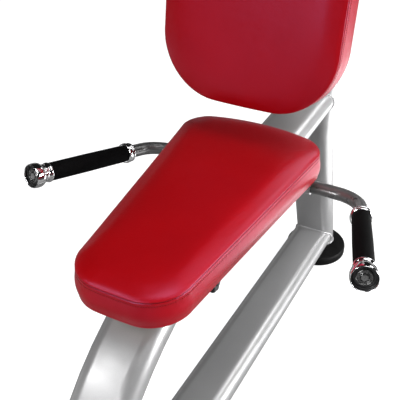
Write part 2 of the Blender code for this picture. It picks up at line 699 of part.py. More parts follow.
def add_carriage(looks, seat):
    """The cheeks that hang beside the rail, their glides, and the bolts that keep the seat from lifting."""
    top = PLATE_FOOT - GAP
    bolt_z = RAIL_Z - TUBE_THICKNESS / 2 - RETAINING_BOLT_DROP
    corner = 0.006
    cheek = rounded_polygon([
        (CHEEK_FRONT_Y, top), (CHEEK_FRONT_Y, CHEEK_FRONT_FOOT_Z), (CHEEK_STEP_Y, CHEEK_REAR_FOOT_Z),
        (CHEEK_REAR_Y, CHEEK_REAR_FOOT_Z), (CHEEK_REAR_Y, top),
    ], corner)
    glide_corner = 0.004
    for side, sign in SIDES.items():
        rings = [[Vector((sign * x, y, z)) for y, z in cheek] for x in (CHEEK_INNER, CHEEK_OUTER)]
        made = add("carriage_cheek_" + side, loft(rings), looks["frame_paint"], seat)
        holes = [(sign * CHEEK_INNER, y, bolt_z) for y in RETAINING_BOLT_Y]
        if side == "left":
            holes.append((CHEEK_INNER, CLAMP_Y, RAIL_Z))
        drill(made, holes, X_AXIS, CLAMP_SCREW_RADIUS + GAP, 5 * CHEEK_THICKNESS)
        inner = TUBE_WIDTH / 2 + GAP
        pad = rounded_rectangle(*SIDE_GLIDE, glide_corner)
        pad_middle = Vector((0, SIDE_GLIDE_Y, RAIL_Z))
        rings = [[pad_middle + Vector((sign * x, y, z)) for y, z in pad] for x in (inner, inner + GLIDE_THICKNESS)]
        add("glide_" + side, loft(rings), looks["nylon"], seat)

    strip = rounded_rectangle(*TOP_GLIDE, glide_corner)
    strip_foot = RAIL_Z + TUBE_THICKNESS / 2 + GAP
    add("glide_top", loft(stack([(strip, 0), (strip, PLATE_FOOT - GAP - strip_foot)])), looks["nylon"], seat,
        Matrix.Translation((0, TOP_GLIDE_Y, strip_foot)))

    reach = CHEEK_OUTER + GAP
    beyond_nut = 0.0025
    for name, y in zip(("front", "rear"), RETAINING_BOLT_Y):
        add("retaining_bolt_" + name, bolt(2 * reach + NUT_HEIGHT + beyond_nut), looks["zinc_steel"], seat,
            pointing((reach, y, bolt_z), -X_AXIS))
        add("retaining_nut_" + name, nut(), looks["zinc_steel"], seat, pointing((-reach, y, bolt_z), -X_AXIS))


def add_clamp(looks, seat, clamp):
    """The clamp screw's threaded boss on the left cheek, and the screw and hand knob that turn in it."""
    boss_start = CHEEK_OUTER + GAP
    bore = CLAMP_SCREW_RADIUS + GAP
    boss = [(CLAMP_BOSS_RADIUS, 0), (CLAMP_BOSS_RADIUS, CLAMP_BOSS_LENGTH), (bore, CLAMP_BOSS_LENGTH), (bore, 0)]
    add("clamp_boss", turned(boss, closed=True), looks["frame_paint"], seat,
        pointing((boss_start, CLAMP_Y, RAIL_Z), X_AXIS))

    tip = TUBE_WIDTH / 2 + 2 * GAP
    knob_start = boss_start + CLAMP_BOSS_LENGTH + 2 * GAP
    socket_depth = KNOB_LENGTH * 0.7
    screw_length = knob_start + socket_depth - tip
    screw = [(0.6 * CLAMP_SCREW_RADIUS, 0), (CLAMP_SCREW_RADIUS, 0.0015), (CLAMP_SCREW_RADIUS, screw_length)]
    add("clamp_screw", turned(screw), looks["zinc_steel"], clamp, pointing((tip, CLAMP_Y, RAIL_Z), X_AXIS))

    def grip(scale):
        return lobed(KNOB_RADIUS * scale, KNOB_HOLLOW * scale, KNOB_LOBES)

    around = len(grip(1))
    hole, neck = circle(bore, around), circle(KNOB_NECK_RADIUS, around)
    neck_length, lobe_start, edge = 0.0025, 0.005, 0.002
    knob = [
        (hole, socket_depth + GAP), (hole, 0), (neck, 0), (neck, neck_length), (grip(1), lobe_start),
        (grip(1), KNOB_LENGTH - edge), (grip(0.85), KNOB_LENGTH),
    ]
    add("clamp_knob", loft(stack(knob)), looks["black_plastic"], clamp,
        pointing((knob_start, CLAMP_Y, RAIL_Z), X_AXIS))


# Handles

def add_handle(side, sign, looks, frame):
    mirror = Vector((sign, 1, 1))
    along = HANDLE_DIRECTION * mirror
    corner = Vector((sign * HANDLE_CORNER_X, HANDLE_Y, RAIL_Z))
    start = Vector((sign * TUBE_WIDTH / 2, HANDLE_Y, RAIL_Z))
    rail_side = rail_left_side if sign > 0 else rail_right_side
    outwards = X_AXIS * sign

    def on_grip(distance):
        return corner + along * (GRIP_START + distance)

    short_of_cap = 0.004
    end = on_grip(COLLAR_LENGTH + GRIP_LENGTH + NECK_LENGTH - short_of_cap)
    path = bent(start, corner, end, HANDLE_BEND, 7)
    across = outwards.cross(along).normalized()
    steps = 16
    add("handle_tube_" + side,
        tube(path, across, circle(HANDLE_RADIUS, steps), circle(HANDLE_RADIUS - HANDLE_WALL, steps), start=rail_side),
        looks["handle_paint"], frame)
    socket = [start, Vector((sign * SOCKET_END_X, HANDLE_Y, RAIL_Z))]
    add("handle_socket_" + side,
        tube(socket, Z_AXIS, circle(SOCKET_RADIUS, steps), circle(HANDLE_RADIUS + GAP, steps), start=rail_side),
        looks["frame_paint"], frame)

    bore = HANDLE_RADIUS + GAP

    def ring_profile(radius, length, edge):
        return [(bore, 0), (radius - edge, 0), (radius, edge), (radius, length - edge), (radius - edge, length),
                (bore, length)]

    collar_end = COLLAR_LENGTH
    grip_end = collar_end + GRIP_LENGTH
    neck_end = grip_end + NECK_LENGTH
    pieces = {
        "grip_collar_": (0, ring_profile(COLLAR_RADIUS, COLLAR_LENGTH - GAP, 0.004), "chrome"),
        "grip_sleeve_": (collar_end, ring_profile(GRIP_RADIUS, GRIP_LENGTH - GAP, 0.002), "grip_foam"),
        "grip_neck_": (grip_end, ring_profile(NECK_RADIUS, NECK_LENGTH - GAP, 0.003), "chrome"),
    }
    for name, (distance, profile, look) in pieces.items():
        add(name + side, turned(profile, closed=True), looks[look], frame, pointing(on_grip(distance), along))

    well = CAP_RADIUS - CAP_WALL
    flare, lip = 0.005, 0.002
    cap = [
        (CAP_BORE, lip), (CAP_BORE, 0), (CAP_RADIUS - flare, 0), (CAP_RADIUS, flare),
        (CAP_RADIUS, CAP_LENGTH - lip), (CAP_RADIUS - lip, CAP_LENGTH), (well, CAP_LENGTH - lip / 4),
        (well, CAP_FLOOR), (CAP_BORE, CAP_FLOOR),
    ]
    add("grip_cap_" + side, turned(cap, closed=True), looks["chrome"], frame, pointing(on_grip(neck_end), along))
    rim_height, dish_height = 0.005, 0.003
    insert = [
        (CAP_BORE, GAP), (well - GAP, GAP), (well - GAP, rim_height), (well - 0.004, rim_height),
        (well - 0.005, dish_height), (0.0100, dish_height), (0.0090, rim_height), (0.0072, rim_height),
        (0.0072, INSERT_FLOOR), (CAP_BORE, INSERT_FLOOR),
    ]
    seat_distance = neck_end + CAP_FLOOR
    add("cap_insert_" + side, turned(insert, closed=True), looks["black_plastic"], frame,
        pointing(on_grip(seat_distance), along))
    screw_seat = on_grip(seat_distance + INSERT_FLOOR + GAP)
    screw = bolt(CAP_SCREW_LENGTH, BOLT_RADIUS, CAP_SCREW_HEAD_RADIUS, CAP_SCREW_HEAD_HEIGHT)
    add("cap_screw_" + side, screw, looks["zinc_steel"], frame, pointing(screw_seat, -along))


def main():
    for existing in list(bpy.data.objects):
        bpy.data.objects.remove(existing, do_unlink=True)
    looks = all_materials()
    frame = empty("frame", (0, 0, 0))
    seat = empty("seat_slide", (0, (CARRIAGE_FRONT_Y + CARRIAGE_REAR_Y) / 2, RAIL_Z))
    clamp = empty("clamp_turn", (CHEEK_OUTER, CLAMP_Y, RAIL_Z))
    add_frame(looks, frame)
    add_feet(looks, frame)
    add_stops(looks, frame)
    add_backrest(looks, frame)
    add_seat(looks, seat)
    add_carriage(looks, seat)
    add_clamp(looks, seat, clamp)
    for side, sign in SIDES.items():
        add_handle(side, sign, looks, frame)


main()
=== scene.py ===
"""The looks of a roman chair: red upholstery, a painted loop frame, chrome-ended grips and rubber feet.

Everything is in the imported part's frame, in metres: +Z up, the sitter faces -Y, and +X is their left.
"""

import json
import math

import bmesh
import bpy
import numpy as np
from mathutils import Matrix, Vector, noise


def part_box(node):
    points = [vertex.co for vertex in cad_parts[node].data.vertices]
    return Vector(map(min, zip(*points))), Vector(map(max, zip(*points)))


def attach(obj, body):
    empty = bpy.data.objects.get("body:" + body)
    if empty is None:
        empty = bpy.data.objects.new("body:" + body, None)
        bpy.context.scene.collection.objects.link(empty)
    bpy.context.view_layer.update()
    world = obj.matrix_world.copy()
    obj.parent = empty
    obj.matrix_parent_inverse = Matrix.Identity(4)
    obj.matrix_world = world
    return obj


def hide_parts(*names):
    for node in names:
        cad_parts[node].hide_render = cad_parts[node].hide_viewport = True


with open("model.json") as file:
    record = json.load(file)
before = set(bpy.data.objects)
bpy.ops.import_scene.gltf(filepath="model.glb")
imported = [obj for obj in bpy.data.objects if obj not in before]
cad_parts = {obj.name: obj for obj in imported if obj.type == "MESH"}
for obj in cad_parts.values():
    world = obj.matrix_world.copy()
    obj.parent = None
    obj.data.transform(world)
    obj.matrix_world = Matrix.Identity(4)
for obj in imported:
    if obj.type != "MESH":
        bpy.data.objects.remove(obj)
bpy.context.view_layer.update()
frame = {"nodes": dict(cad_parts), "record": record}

X_AXIS = Vector((1, 0, 0))
Z_AXIS = Vector((0, 0, 1))
SIDES = {"left": 1, "right": -1}
MM = 0.001

# Driving dimensions, the same as the part's own
TOUCH_GAP = 0.3 * MM  # between two pieces that touch
TUBE_ROUND = 0.025  # radius of the flat-oval tube's round edges
TUBE_FLAT = 0.025  # half the width of its flat sides
POST_LEAN = 0.333
POST_FLOOR_Y = 0.565
POST_Y = 0.407
REAR_Y = 0.560
FRONT_Y = -0.560
RAIL_Z = 0.548
BASE_REAR_Z = 0.077
BASE_RISE = 0.0736
DISC_RADIUS = 0.081
DISC_HEIGHT = 0.023
FRONT_TRACK = 0.440

SEAT_REAR_Y = 0.0753
SEAT_LENGTH = 0.4745
SEAT_REAR_HALF = 0.1296
SEAT_FRONT_HALF = 0.0868
SEAT_REAR_CORNER = 0.034
SEAT_FRONT_CORNER = 0.058
SEAT_REAR_BULGE = 0.026
SEAT_FRONT_BULGE = 0.004
SEAT_SIDE_BOW = 0.0045
SEAT_SEAM_Z = 0.6248
SEAT_DEPTH = 0.0453
SEAT_CROWN = 0.0125
SEAT_EDGE = 0.016

BACK_Y = 0.009
BACK_Z = 0.7145
BACK_RECLINE = math.radians(8.7)
BACK_HALF = 0.1528
BACK_HEIGHT = 0.430
BACK_LOW_CORNER = 0.1006
BACK_HIGH_CORNER = 0.075
BACK_BULGE = 0.008
BACK_DEPTH = 0.0595
BACK_CROWN = 0.0115
BACK_EDGE = 0.015
BACK_ARM_Z = 0.868
BACK_ARM_HALF = 0.025
BACK_ARM_CORNER = 0.012
BACK_PLATE_DEPTH = 0.0055  # from the pad's back to the back of the plate behind it

HANDLE_Y = 0.0625
HANDLE_CORNER_X = 0.2069
HANDLE_DIRECTION = Vector((0.2699, -0.9374, 0.2216)).normalized()
SOCKET_RADIUS = 0.015
GRIP_START = 0.0697
GRIP_BORE = 0.0123
GRIP_RADIUS = 0.0158
COLLAR_LENGTH = 0.016
GRIP_LENGTH = 0.171
NECK_LENGTH = 0.014
CAP_LENGTH = 0.022
CAP_RADIUS = 0.0213
CAP_WALL = 0.0026
CAP_FLOOR = 0.012  # how deep the insert sits in the cap
SCREW_HOLE = 0.0045

CLAMP_Y = -0.249
KNOB_RADIUS = 0.013
KNOB_LOBES = 5
LOBE_DEPTH = 0.23  # share of the knob's radius
BOLT_HOLE = 0.0053
BOLT_POCKET = 0.014


# Procedural materials

NOISE_LOW, NOISE_HIGH = 0.3, 0.7  # nearly all that a noise texture gives lies between these


def fed(tree, kind, inputs, operation=None):
    """A new node, each of whose inputs gets a value, or a link from another node's output."""
    made = tree.nodes.new("ShaderNode" + kind)
    if operation:
        made.operation = operation
    for name, source in inputs.items():
        if isinstance(source, bpy.types.NodeSocket):
            tree.links.new(source, made.inputs[name])
        else:
            made.inputs[name].default_value = source
    return made


class Look:
    """A material being built: its node tree, its shader, and the coordinates that its textures follow."""

    def __init__(self, name, colour, roughness, metallic=0.0):
        self.material = bpy.data.materials.new("look_" + name)
        self.material.use_nodes = True
        self.material.diffuse_color = (*colour, 1)
        self.tree = self.material.node_tree
        self.shader = self.tree.nodes["Principled BSDF"]
        self.setting("Base Color", (*colour, 1))
        self.setting("Roughness", roughness)
        self.setting("Metallic", metallic)
        self.place = fed(self.tree, "TexCoord", {}).outputs["Object"]

    def setting(self, name, value):
        self.shader.inputs[name].default_value = value

    def feed(self, name, source):
        self.tree.links.new(source, self.shader.inputs[name])

    def noise(self, scale, detail=3.0, place=None):
        inputs = {"Scale": scale, "Detail": detail, "Vector": place or self.place}
        return fed(self.tree, "TexNoise", inputs).outputs["Fac"]

    def drift(self, scale, low=0.0, high=1.0, detail=3.0):
        """Noise that fills the range from low to high."""
        return self.ranged(self.noise(scale, detail), NOISE_LOW, NOISE_HIGH, low, high)

    def cells(self, scale):
        return fed(self.tree, "TexVoronoi", {"Scale": scale, "Vector": self.place}).outputs["Distance"]

    def stretched(self, place, scale):
        return fed(self.tree, "Mapping", {"Scale": scale, "Vector": place}).outputs["Vector"]

    def attribute(self, name):
        made = fed(self.tree, "Attribute", {})
        made.attribute_name = name
        return made.outputs["Fac"]

    def uv(self, name):
        made = fed(self.tree, "UVMap", {})
        made.uv_map = name
        return made.outputs["UV"]

    def ranged(self, source, low, high, to_low=0.0, to_high=1.0):
        inputs = {"Value": source, "From Min": low, "From Max": high, "To Min": to_low, "To Max": to_high}
        return fed(self.tree, "MapRange", inputs).outputs["Result"]

    def product(self, first, second):
        return fed(self.tree, "Math", {0: first, 1: second}, "MULTIPLY").outputs["Value"]

    def mixed(self, share, first, second):
        """A colour between two, each a tuple or another colour output."""
        made = self.tree.nodes.new("ShaderNodeMix")
        made.data_type = "RGBA"
        self.tree.links.new(share, made.inputs["Factor"])
        for socket, colour in ((made.inputs["A"], first), (made.inputs["B"], second)):
            if isinstance(colour, tuple):
                socket.default_value = (*colour, 1)
            else:
                self.tree.links.new(colour, socket)
        return made.outputs["Result"]

    def colour(self, source):
        self.feed("Base Color", source)

    def roughness(self, source):
        self.feed("Roughness", source)

    def bump(self, *layers):
        """Adds relief: each layer is a height from 0 to 1 and how tall it stands, in metres."""
        below = {}
        for height, distance in layers:
            inputs = {"Strength": 1.0, "Distance": distance, "Height": height, **below}
            below = {"Normal": fed(self.tree, "Bump", inputs).outputs["Normal"]}
        self.feed("Normal", below["Normal"])


def varied(look, scale, low, high, detail=3.0):
    """Colours the look between two tones that drift across the surface."""
    look.colour(look.mixed(look.drift(scale, detail=detail), low, high))


def frame_paint():
    """Silver powder coat with a fine metal flake and a slight orange peel."""
    look = Look("frame_paint", (0.42, 0.42, 0.42), 0.34, 0.50)
    look.setting("Coat Weight", 0.35)
    look.setting("Coat Roughness", 0.16)
    flake = look.ranged(look.cells(1400.0), 0.1, 0.6)
    tone = look.mixed(look.drift(9.0), (0.415, 0.415, 0.418), (0.455, 0.455, 0.458))
    look.colour(look.mixed(look.product(flake, 0.35), tone, (0.55, 0.55, 0.56)))
    look.roughness(look.drift(40.0, 0.31, 0.39))
    look.bump((look.noise(420.0, 2.0), 0.03 * MM))
    return look.material


def handle_paint():
    """Dark, glossy powder coat."""
    look = Look("handle_paint", (0.14, 0.14, 0.14), 0.30, 0.5)
    look.setting("Coat Weight", 0.3)
    look.setting("Coat Roughness", 0.10)
    varied(look, 14.0, (0.13, 0.13, 0.132), (0.18, 0.18, 0.182))
    look.roughness(look.drift(60.0, 0.25, 0.34))
    look.bump((look.noise(350.0, 2.0), 0.02 * MM))
    return look.material


def leatherette():
    """Red upholstery vinyl: pebbled grain, pleats where the mesh says it gathers, and painted shade in the
    seams.
    """
    look = Look("leatherette", (0.40, 0.004, 0.010), 0.36)
    look.setting("IOR", 1.48)
    look.setting("Specular Tint", (1.0, 0.45, 1.0, 1))
    look.setting("Coat Weight", 0.05)
    look.setting("Coat Roughness", 0.25)
    look.setting("Sheen Weight", 0.03)
    look.setting("Sheen Roughness", 0.35)
    look.setting("Sheen Tint", (1.0, 0.40, 0.80, 1))
    tone = look.mixed(look.drift(7.0), (0.350, 0.0006, 0.0010), (0.405, 0.0014, 0.0020))
    pores = look.ranged(look.noise(900.0, 2.0), 0.55, 0.75)
    tone = look.mixed(look.product(pores, 0.35), tone, (0.220, 0.0008, 0.0026))
    # painted shade: the colour darkens in the sunk seam and in the row's dimples
    look.colour(look.mixed(look.attribute("painted_seam_shade"), tone, (0.13, 0.0010, 0.0040)))
    look.roughness(look.drift(160.0, 0.33, 0.41))
    pleats = look.noise(1.0, 1.0, look.stretched(look.uv("along_seam"), (450.0, 60.0, 1.0)))
    look.bump(
        (look.cells(950.0), 0.08 * MM),
        (look.noise(260.0, 2.0), 0.09 * MM),
        (look.product(pleats, look.attribute("gather")), 0.8 * MM),
    )
    return look.material


def thread():
    """Dark red sewing thread."""
    look = Look("thread", (0.16, 0.003, 0.006), 0.6)
    look.setting("Specular IOR Level", 0.2)
    varied(look, 900.0, (0.09, 0.002, 0.004), (0.16, 0.003, 0.006), 1.0)
    look.bump((look.noise(2200.0, 1.0), 0.05 * MM))
    return look.material


def board_wood():
    """Plywood: long pale grain across darker pores."""
    look = Look("board_wood", (0.34, 0.22, 0.12), 0.7)
    grain = look.noise(1.0, 4.0, look.stretched(look.place, (14.0, 160.0, 160.0)))
    look.colour(look.mixed(look.ranged(grain, 0.35, 0.65), (0.24, 0.145, 0.075), (0.42, 0.29, 0.17)))
    look.bump((grain, 0.2 * MM))
    return look.material


def rubber():
    """Matt moulded rubber."""
    look = Look("rubber", (0.012, 0.012, 0.012), 0.55)
    look.setting("Specular IOR Level", 0.15)
    varied(look, 30.0, (0.004, 0.004, 0.004), (0.009, 0.009, 0.009))
    look.roughness(look.drift(90.0, 0.48, 0.66))
    look.bump((look.noise(700.0, 2.0), 0.08 * MM))
    return look.material


def grip_foam():
    """Closed-cell foam rubber with an even, fine pebble."""
    look = Look("grip_foam", (0.002, 0.002, 0.002), 0.75)
    look.setting("Specular IOR Level", 0.06)
    varied(look, 500.0, (0.0008, 0.0008, 0.0009), (0.004, 0.004, 0.0042), 2.0)
    look.bump((look.cells(700.0), 0.25 * MM), (look.noise(1500.0, 2.0), 0.10 * MM))
    return look.material


def chrome():
    """Bright chrome with a barely uneven polish."""
    look = Look("chrome", (0.80, 0.80, 0.81), 0.06, 1.0)
    varied(look, 25.0, (0.76, 0.76, 0.77), (0.84, 0.84, 0.85))
    look.roughness(look.drift(120.0, 0.04, 0.10))
    look.bump((look.noise(180.0, 2.0), 0.01 * MM))
    return look.material


def black_plastic():
    """Moulded plastic with a fine texture."""
    look = Look("black_plastic", (0.014, 0.014, 0.015), 0.42)
    varied(look, 40.0, (0.010, 0.010, 0.011), (0.020, 0.020, 0.021))
    look.roughness(look.drift(150.0, 0.36, 0.50))
    look.bump((look.noise(1200.0, 2.0), 0.05 * MM))
    return look.material


def dark_metal():
    """A blackened, turned washer."""
    look = Look("dark_metal", (0.16, 0.16, 0.16), 0.24, 0.9)
    varied(look, 60.0, (0.13, 0.13, 0.13), (0.19, 0.19, 0.19))
    look.roughness(look.drift(300.0, 0.18, 0.30))
    look.bump((look.noise(900.0, 2.0), 0.02 * MM))
    return look.material


def nylon():
    """Natural nylon, a little translucent."""
    look = Look("nylon", (0.55, 0.55, 0.52), 0.5)
    look.setting("Subsurface Weight", 0.1)
    varied(look, 60.0, (0.50, 0.50, 0.47), (0.60, 0.60, 0.57))
    look.bump((look.noise(500.0, 2.0), 0.05 * MM))
    return look.material


def zinc_steel():
    """Bright zinc plating with the faint crystals that it grows."""
    look = Look("zinc_steel", (0.50, 0.50, 0.49), 0.30, 1.0)
    spangle = look.ranged(look.cells(260.0), 0.1, 0.7)
    look.colour(look.mixed(spangle, (0.42, 0.42, 0.41), (0.60, 0.60, 0.58)))
    look.roughness(look.drift(200.0, 0.24, 0.40))
    look.bump((look.noise(900.0, 2.0), 0.03 * MM))
    return look.material


LOOKS = {make.__name__: make() for make in (
    frame_paint, handle_paint, leatherette, thread, board_wood, rubber,
    grip_foam, chrome, black_plastic, nylon, zinc_steel, dark_metal,
)}


# Pieces

def piece(name, data, look, body, replaces=()):
    """Makes the mesh a piece of this look that rides on the body, in place of the CAD nodes it names."""
    data.materials.append(LOOKS[look])
    made = bpy.data.objects.new(name, data)
    bpy.context.scene.collection.objects.link(made)
    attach(made, body)
    if replaces:
        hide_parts(*replaces)
    return made


def mesh_from(name, points, faces):
    data = bpy.data.meshes.new(name)
    data.from_pydata([tuple(point) for point in points], [], faces)
    data.update()
    data.shade_smooth()
    return data


def pointing(location, direction):
    """The matrix that puts a shape's local +Z along the direction, from the location."""
    turn = Vector(direction).to_track_quat("Z", "Y").to_matrix().to_4x4()
    return Matrix.Translation(location) @ turn


CORNER_SHARE = 0.45  # the most of a side that one of its rounded corners takes up


def softened(corners, radius, steps=4):
    """A closed profile with every corner rounded, by less where the sides are short."""
    corners = [Vector(corner) for corner in corners]
    points = []
    for i, corner in enumerate(corners):
        before, after = corners[i - 1], corners[(i + 1) % len(corners)]
        shorter = min((corner - before).length, (after - corner).length)
        reach = min(radius, CORNER_SHARE * shorter)
        start = corner + (before - corner).normalized() * reach
        end = corner + (after - corner).normalized() * reach
        for k in range(steps + 1):
            t = k / steps
            points.append(start * (1 - t) ** 2 + corner * 2 * t * (1 - t) + end * t ** 2)
    return points


def turned_points(profile, matrix, steps, swell):
    for r, z in profile:
        for i in range(steps):
            angle = 2 * math.pi * i / steps
            reach = r * swell(angle, z)
            yield matrix @ Vector((reach * math.cos(angle), reach * math.sin(angle), z))


def turned(name, profile, matrix, steps=72, swell=lambda angle, z: 1.0):
    """A ring of revolution from a closed profile of (radius, height) points."""
    count = len(profile)
    points = list(turned_points(profile, matrix, steps, swell))
    faces = []
    for j in range(count):
        below, above = j * steps, (j + 1) % count * steps
        for i in range(steps):
            k = (i + 1) % steps
            faces.append((below + i, below + k, above + k, above + i))
    return outward(mesh_from(name, points, faces))


def outward(data):
    """Turns the mesh's faces to point out."""
    mesh = bmesh.new()
    mesh.from_mesh(data)
    bmesh.ops.recalc_face_normals(mesh, faces=mesh.faces)
    mesh.to_mesh(data)
    mesh.free()
    return data


# Upholstery

AROUND = 800  # points around a pad
CAGE_AROUND = 160  # points around the coarse pad that is simulated
END_POINTS = 24  # points across half of one end of an outline
CENTRE_RINGS = 16
CAGE_SIDE_RINGS, CAGE_ROLL_RINGS, CAGE_CENTRE_RINGS = 10, 5, 14
POCKET_SHARES = (1.0, 0.6, 0.25, 0.0)  # rings over the board: how near the middle of the pad each one is

# Section of a pad's edge
CROWN_REACH = 0.011  # how soon the face levels off, measured in from its seam
BOARD_INSET = 0.0095
POCKET_DEPTH = 0.0125  # above the underside, where the pad's foam meets its board
LOWER_TURN = 0.0025  # radius of the roll at the foot of the side
SEAM_PULL = 0.0004  # how far the seam draws in
SIDE_BULGE, BULGE_SKEW = 0.0026, 0.8  # the skew moves the fullest place towards the board

# Simulation of the swelling
PINNED, SWELL_CAP = "pinned", 0.0030
SIMULATED_FRAMES = 20
SMOOTHING_ROUNDS = 14

# Relief of the cover: the middle and width of each band are measured up the section from the seam
SEAM_DEPTH, SEAM_WIDTH = 0.9 * MM, 0.65 * MM
UPPER_RIDGE = (0.50 * MM, 2.4 * MM, 1.3 * MM)  # height, middle and width
LOWER_RIDGE = (0.25 * MM, -2.2 * MM, 1.2 * MM)
STITCH_ROW = -6.0 * MM  # the lower row of stitches
ROW_DEPTH, ROW_WIDTH, DIMPLE_PITCH = 0.30 * MM, 0.9 * MM, 5.0 * MM
ROW_PAINTED_SHADE = 0.15  # how much painted shade the row's dimples get, next to the seam's
GATHERS_BELOW = (1.0, -4.5 * MM, 4.6 * MM)  # share, middle and width
GATHERS_ABOVE = (0.35, 4.5 * MM, 3.5 * MM)
GATHER_HEIGHT, GATHER_PITCH, GATHER_RUN = 0.55 * MM, 5.5 * MM, 30 * MM
SLOW_PITCH = 0.09  # of the gathers' coming and going along the seam
GATHER_EVERYWHERE, GATHER_SLOWLY, GATHER_AT_CORNERS, MOST_GATHERED = 0.50, 0.40, 0.6, 1.5
DRAWS = (1.0, -14 * MM, 11 * MM)  # long shallow folds down the side
DRAW_HEIGHT, DRAW_PITCH, DRAW_RUN = 0.5 * MM, 15 * MM, 60 * MM
DRAW_EVERYWHERE, DRAW_AT_CORNERS = 0.15, 0.6
FACE_HEIGHT, FACE_LUMPS = 0.6 * MM, 13.0  # the face's own slow unevenness, and how many lumps a metre has
FACE_FADE, FACE_SPAN = 0.02, 0.1  # it grows over the first, and the face's middle counts as the second away
FACE_EVERY = 4  # it is worked out at every fourth point round

STITCH_PITCH, STITCH_SHARE = 3.6 * MM, 0.72  # a thread shows along this share of its pitch
THREAD_RADIUS = 0.33 * MM


def arc(centre, radius, start, end, steps=24):
    """Points round part of a circle, from one angle to another, in degrees."""
    angles = [math.radians(start + (end - start) * i / steps) for i in range(steps + 1)]
    return [(centre[0] + radius * math.cos(a), centre[1] + radius * math.sin(a)) for a in angles]


def bow(distance, half, amount):
    """How far a line that bows out by this amount at its middle stands out at this distance from there."""
    return amount * max(0, 1 - (distance / half) ** 2)


def bowed_outline(halves, ends, corners, bulges, side_bow=0.0):
    """Half of a pad's outline, on the +X side, from the middle of its lower end to that of its upper end.

    The first four are pairs: the lower end's value, and then the upper end's.
    """
    (low_half, high_half), (low, high) = halves, ends
    (low_corner, high_corner), (low_bulge, high_bulge) = corners, bulges
    lower = [((low_half - low_corner) * i / END_POINTS, low) for i in range(END_POINTS)]
    lower += arc((low_half - low_corner, low + low_corner), low_corner, -90, 0)
    upper = arc((high_half - high_corner, high - high_corner), high_corner, 0, 90)
    upper += [((high_half - high_corner) * (1 - i / END_POINTS), high) for i in range(1, END_POINTS + 1)]
    bowed = [(x, y - bow(x, low_half, low_bulge)) for x, y in lower]
    bowed += [(x, y + bow(x, high_half, high_bulge)) for x, y in upper]
    middle, reach = (low + high) / 2, (high - low) / 2
    return [(x * (1 + bow(y - middle, reach, side_bow / low_half)), y) for x, y in bowed]


def resampled(points, count):
    """The open line's points, spaced evenly."""
    points = np.array(points)
    lengths = np.concatenate(([0], np.cumsum(np.linalg.norm(np.diff(points, axis=0), axis=1))))
    wanted = np.linspace(0, lengths[-1], count)
    return np.column_stack([np.interp(wanted, lengths, points[:, k]) for k in (0, 1)])


def outline_of(half, around):
    """The whole outline, counter-clockwise from the middle of its upper end, with its inward normals."""
    right = resampled(half, around // 2 + 1)
    left = right[::-1] * (-1, 1)
    whole = np.concatenate((left, right[1:-1]))
    along = np.roll(whole, -1, axis=0) - np.roll(whole, 1, axis=0)
    along /= np.linalg.norm(along, axis=1)[:, None]
    return whole, np.column_stack((-along[:, 1], along[:, 0]))


def spine_of(outline, around, end_inset):
    """Where the rings meet: a line down the pad's middle, with a point for each pair of outline points."""
    low, high = outline[:, 1].min() + end_inset, outline[:, 1].max() - end_inset
    share = np.abs(np.arange(around) - around / 2) / (around / 2)
    return np.column_stack((np.zeros(around), low + (high - low) * share))


def crown_height(crown, distance):
    """Height of the face at this distance in from the seam: steep beside it, and almost level further in."""
    return crown * np.tanh(np.sqrt(distance / CROWN_REACH))


def edge_profile(depth, crown, edge):
    """(inset, height) pairs from the board's edge, up the side, over the seam at height 0, to the face."""
    quarter = np.linspace(0, math.pi / 2, 9)
    roll = np.column_stack((LOWER_TURN * (1 - np.sin(quarter)), -depth + LOWER_TURN * (1 - np.cos(quarter))))
    roll = np.concatenate(([(BOARD_INSET, -depth)], roll))
    up = np.linspace(0, 1, 25)[1:]
    inset = SEAM_PULL * up ** 2 - SIDE_BULGE * np.sin(math.pi * up ** BULGE_SKEW) ** 2
    side = np.column_stack((inset, -(depth - LOWER_TURN) * (1 - up)))
    inward = edge * up ** 2
    top = np.column_stack((SEAM_PULL + inward, crown_height(crown, inward)))
    return np.concatenate((roll, side, top))


def along_profile(profile):
    """How far each of the profile's points is from its seam, down being negative."""
    lengths = np.concatenate(([0], np.cumsum(np.linalg.norm(np.diff(profile, axis=0), axis=1))))
    return lengths - np.interp(0.0, profile[:, 1], lengths)


def pad_grid(shape, around, rises, centre_shares):
    """Points of a pad, ring by ring from under its board to the middle of its face."""
    outline, inward = outline_of(shape["half"], around)
    spine = spine_of(outline, around, shape["end_inset"])
    profile = edge_profile(shape["depth"], shape["crown"], shape["edge"])
    distances = along_profile(profile)
    place = shape["place"]

    def ring(inset, height, share=0.0):
        flat = outline + inward * inset
        flat = flat + (spine - flat) * share
        return [place(x, y, height) for x, y in flat]

    def face_ring(share):
        flat = outline + inward * profile[-1][0]
        reach = np.linalg.norm(spine - flat, axis=1)
        heights = crown_height(shape["crown"], shape["edge"] + share * reach)
        return [place(x, y, height) for (x, y), height in zip(flat + (spine - flat) * share, heights)]

    ceiling = -shape["depth"] + POCKET_DEPTH
    rings = [ring(BOARD_INSET, ceiling, share) for share in POCKET_SHARES]
    for rise in rises:
        rings.append(ring(*(np.interp(rise, distances, profile[:, k]) for k in (0, 1))))
    rings += [face_ring(share) for share in centre_shares]
    return np.array(rings)


def closed_grid(name, grid):
    """A mesh of the grid, whose first and last rings each fold onto a line, and its vertices' numbers."""
    rings, around = grid.shape[:2]
    index = np.arange(rings * around).reshape(rings, around)
    mirrored = -np.arange(around) % around
    for end in (0, -1):
        index[end] = np.minimum(index[end], index[end][mirrored])
    used, numbers = np.unique(index, return_inverse=True)
    numbers = numbers.reshape(rings, around)
    after = np.roll(numbers, -1, axis=1)
    faces = np.stack((numbers[:-1], after[:-1], after[1:], numbers[1:]), axis=-1).reshape(-1, 4)
    return mesh_from(name, grid.reshape(-1, 3)[used], faces.tolist()), numbers


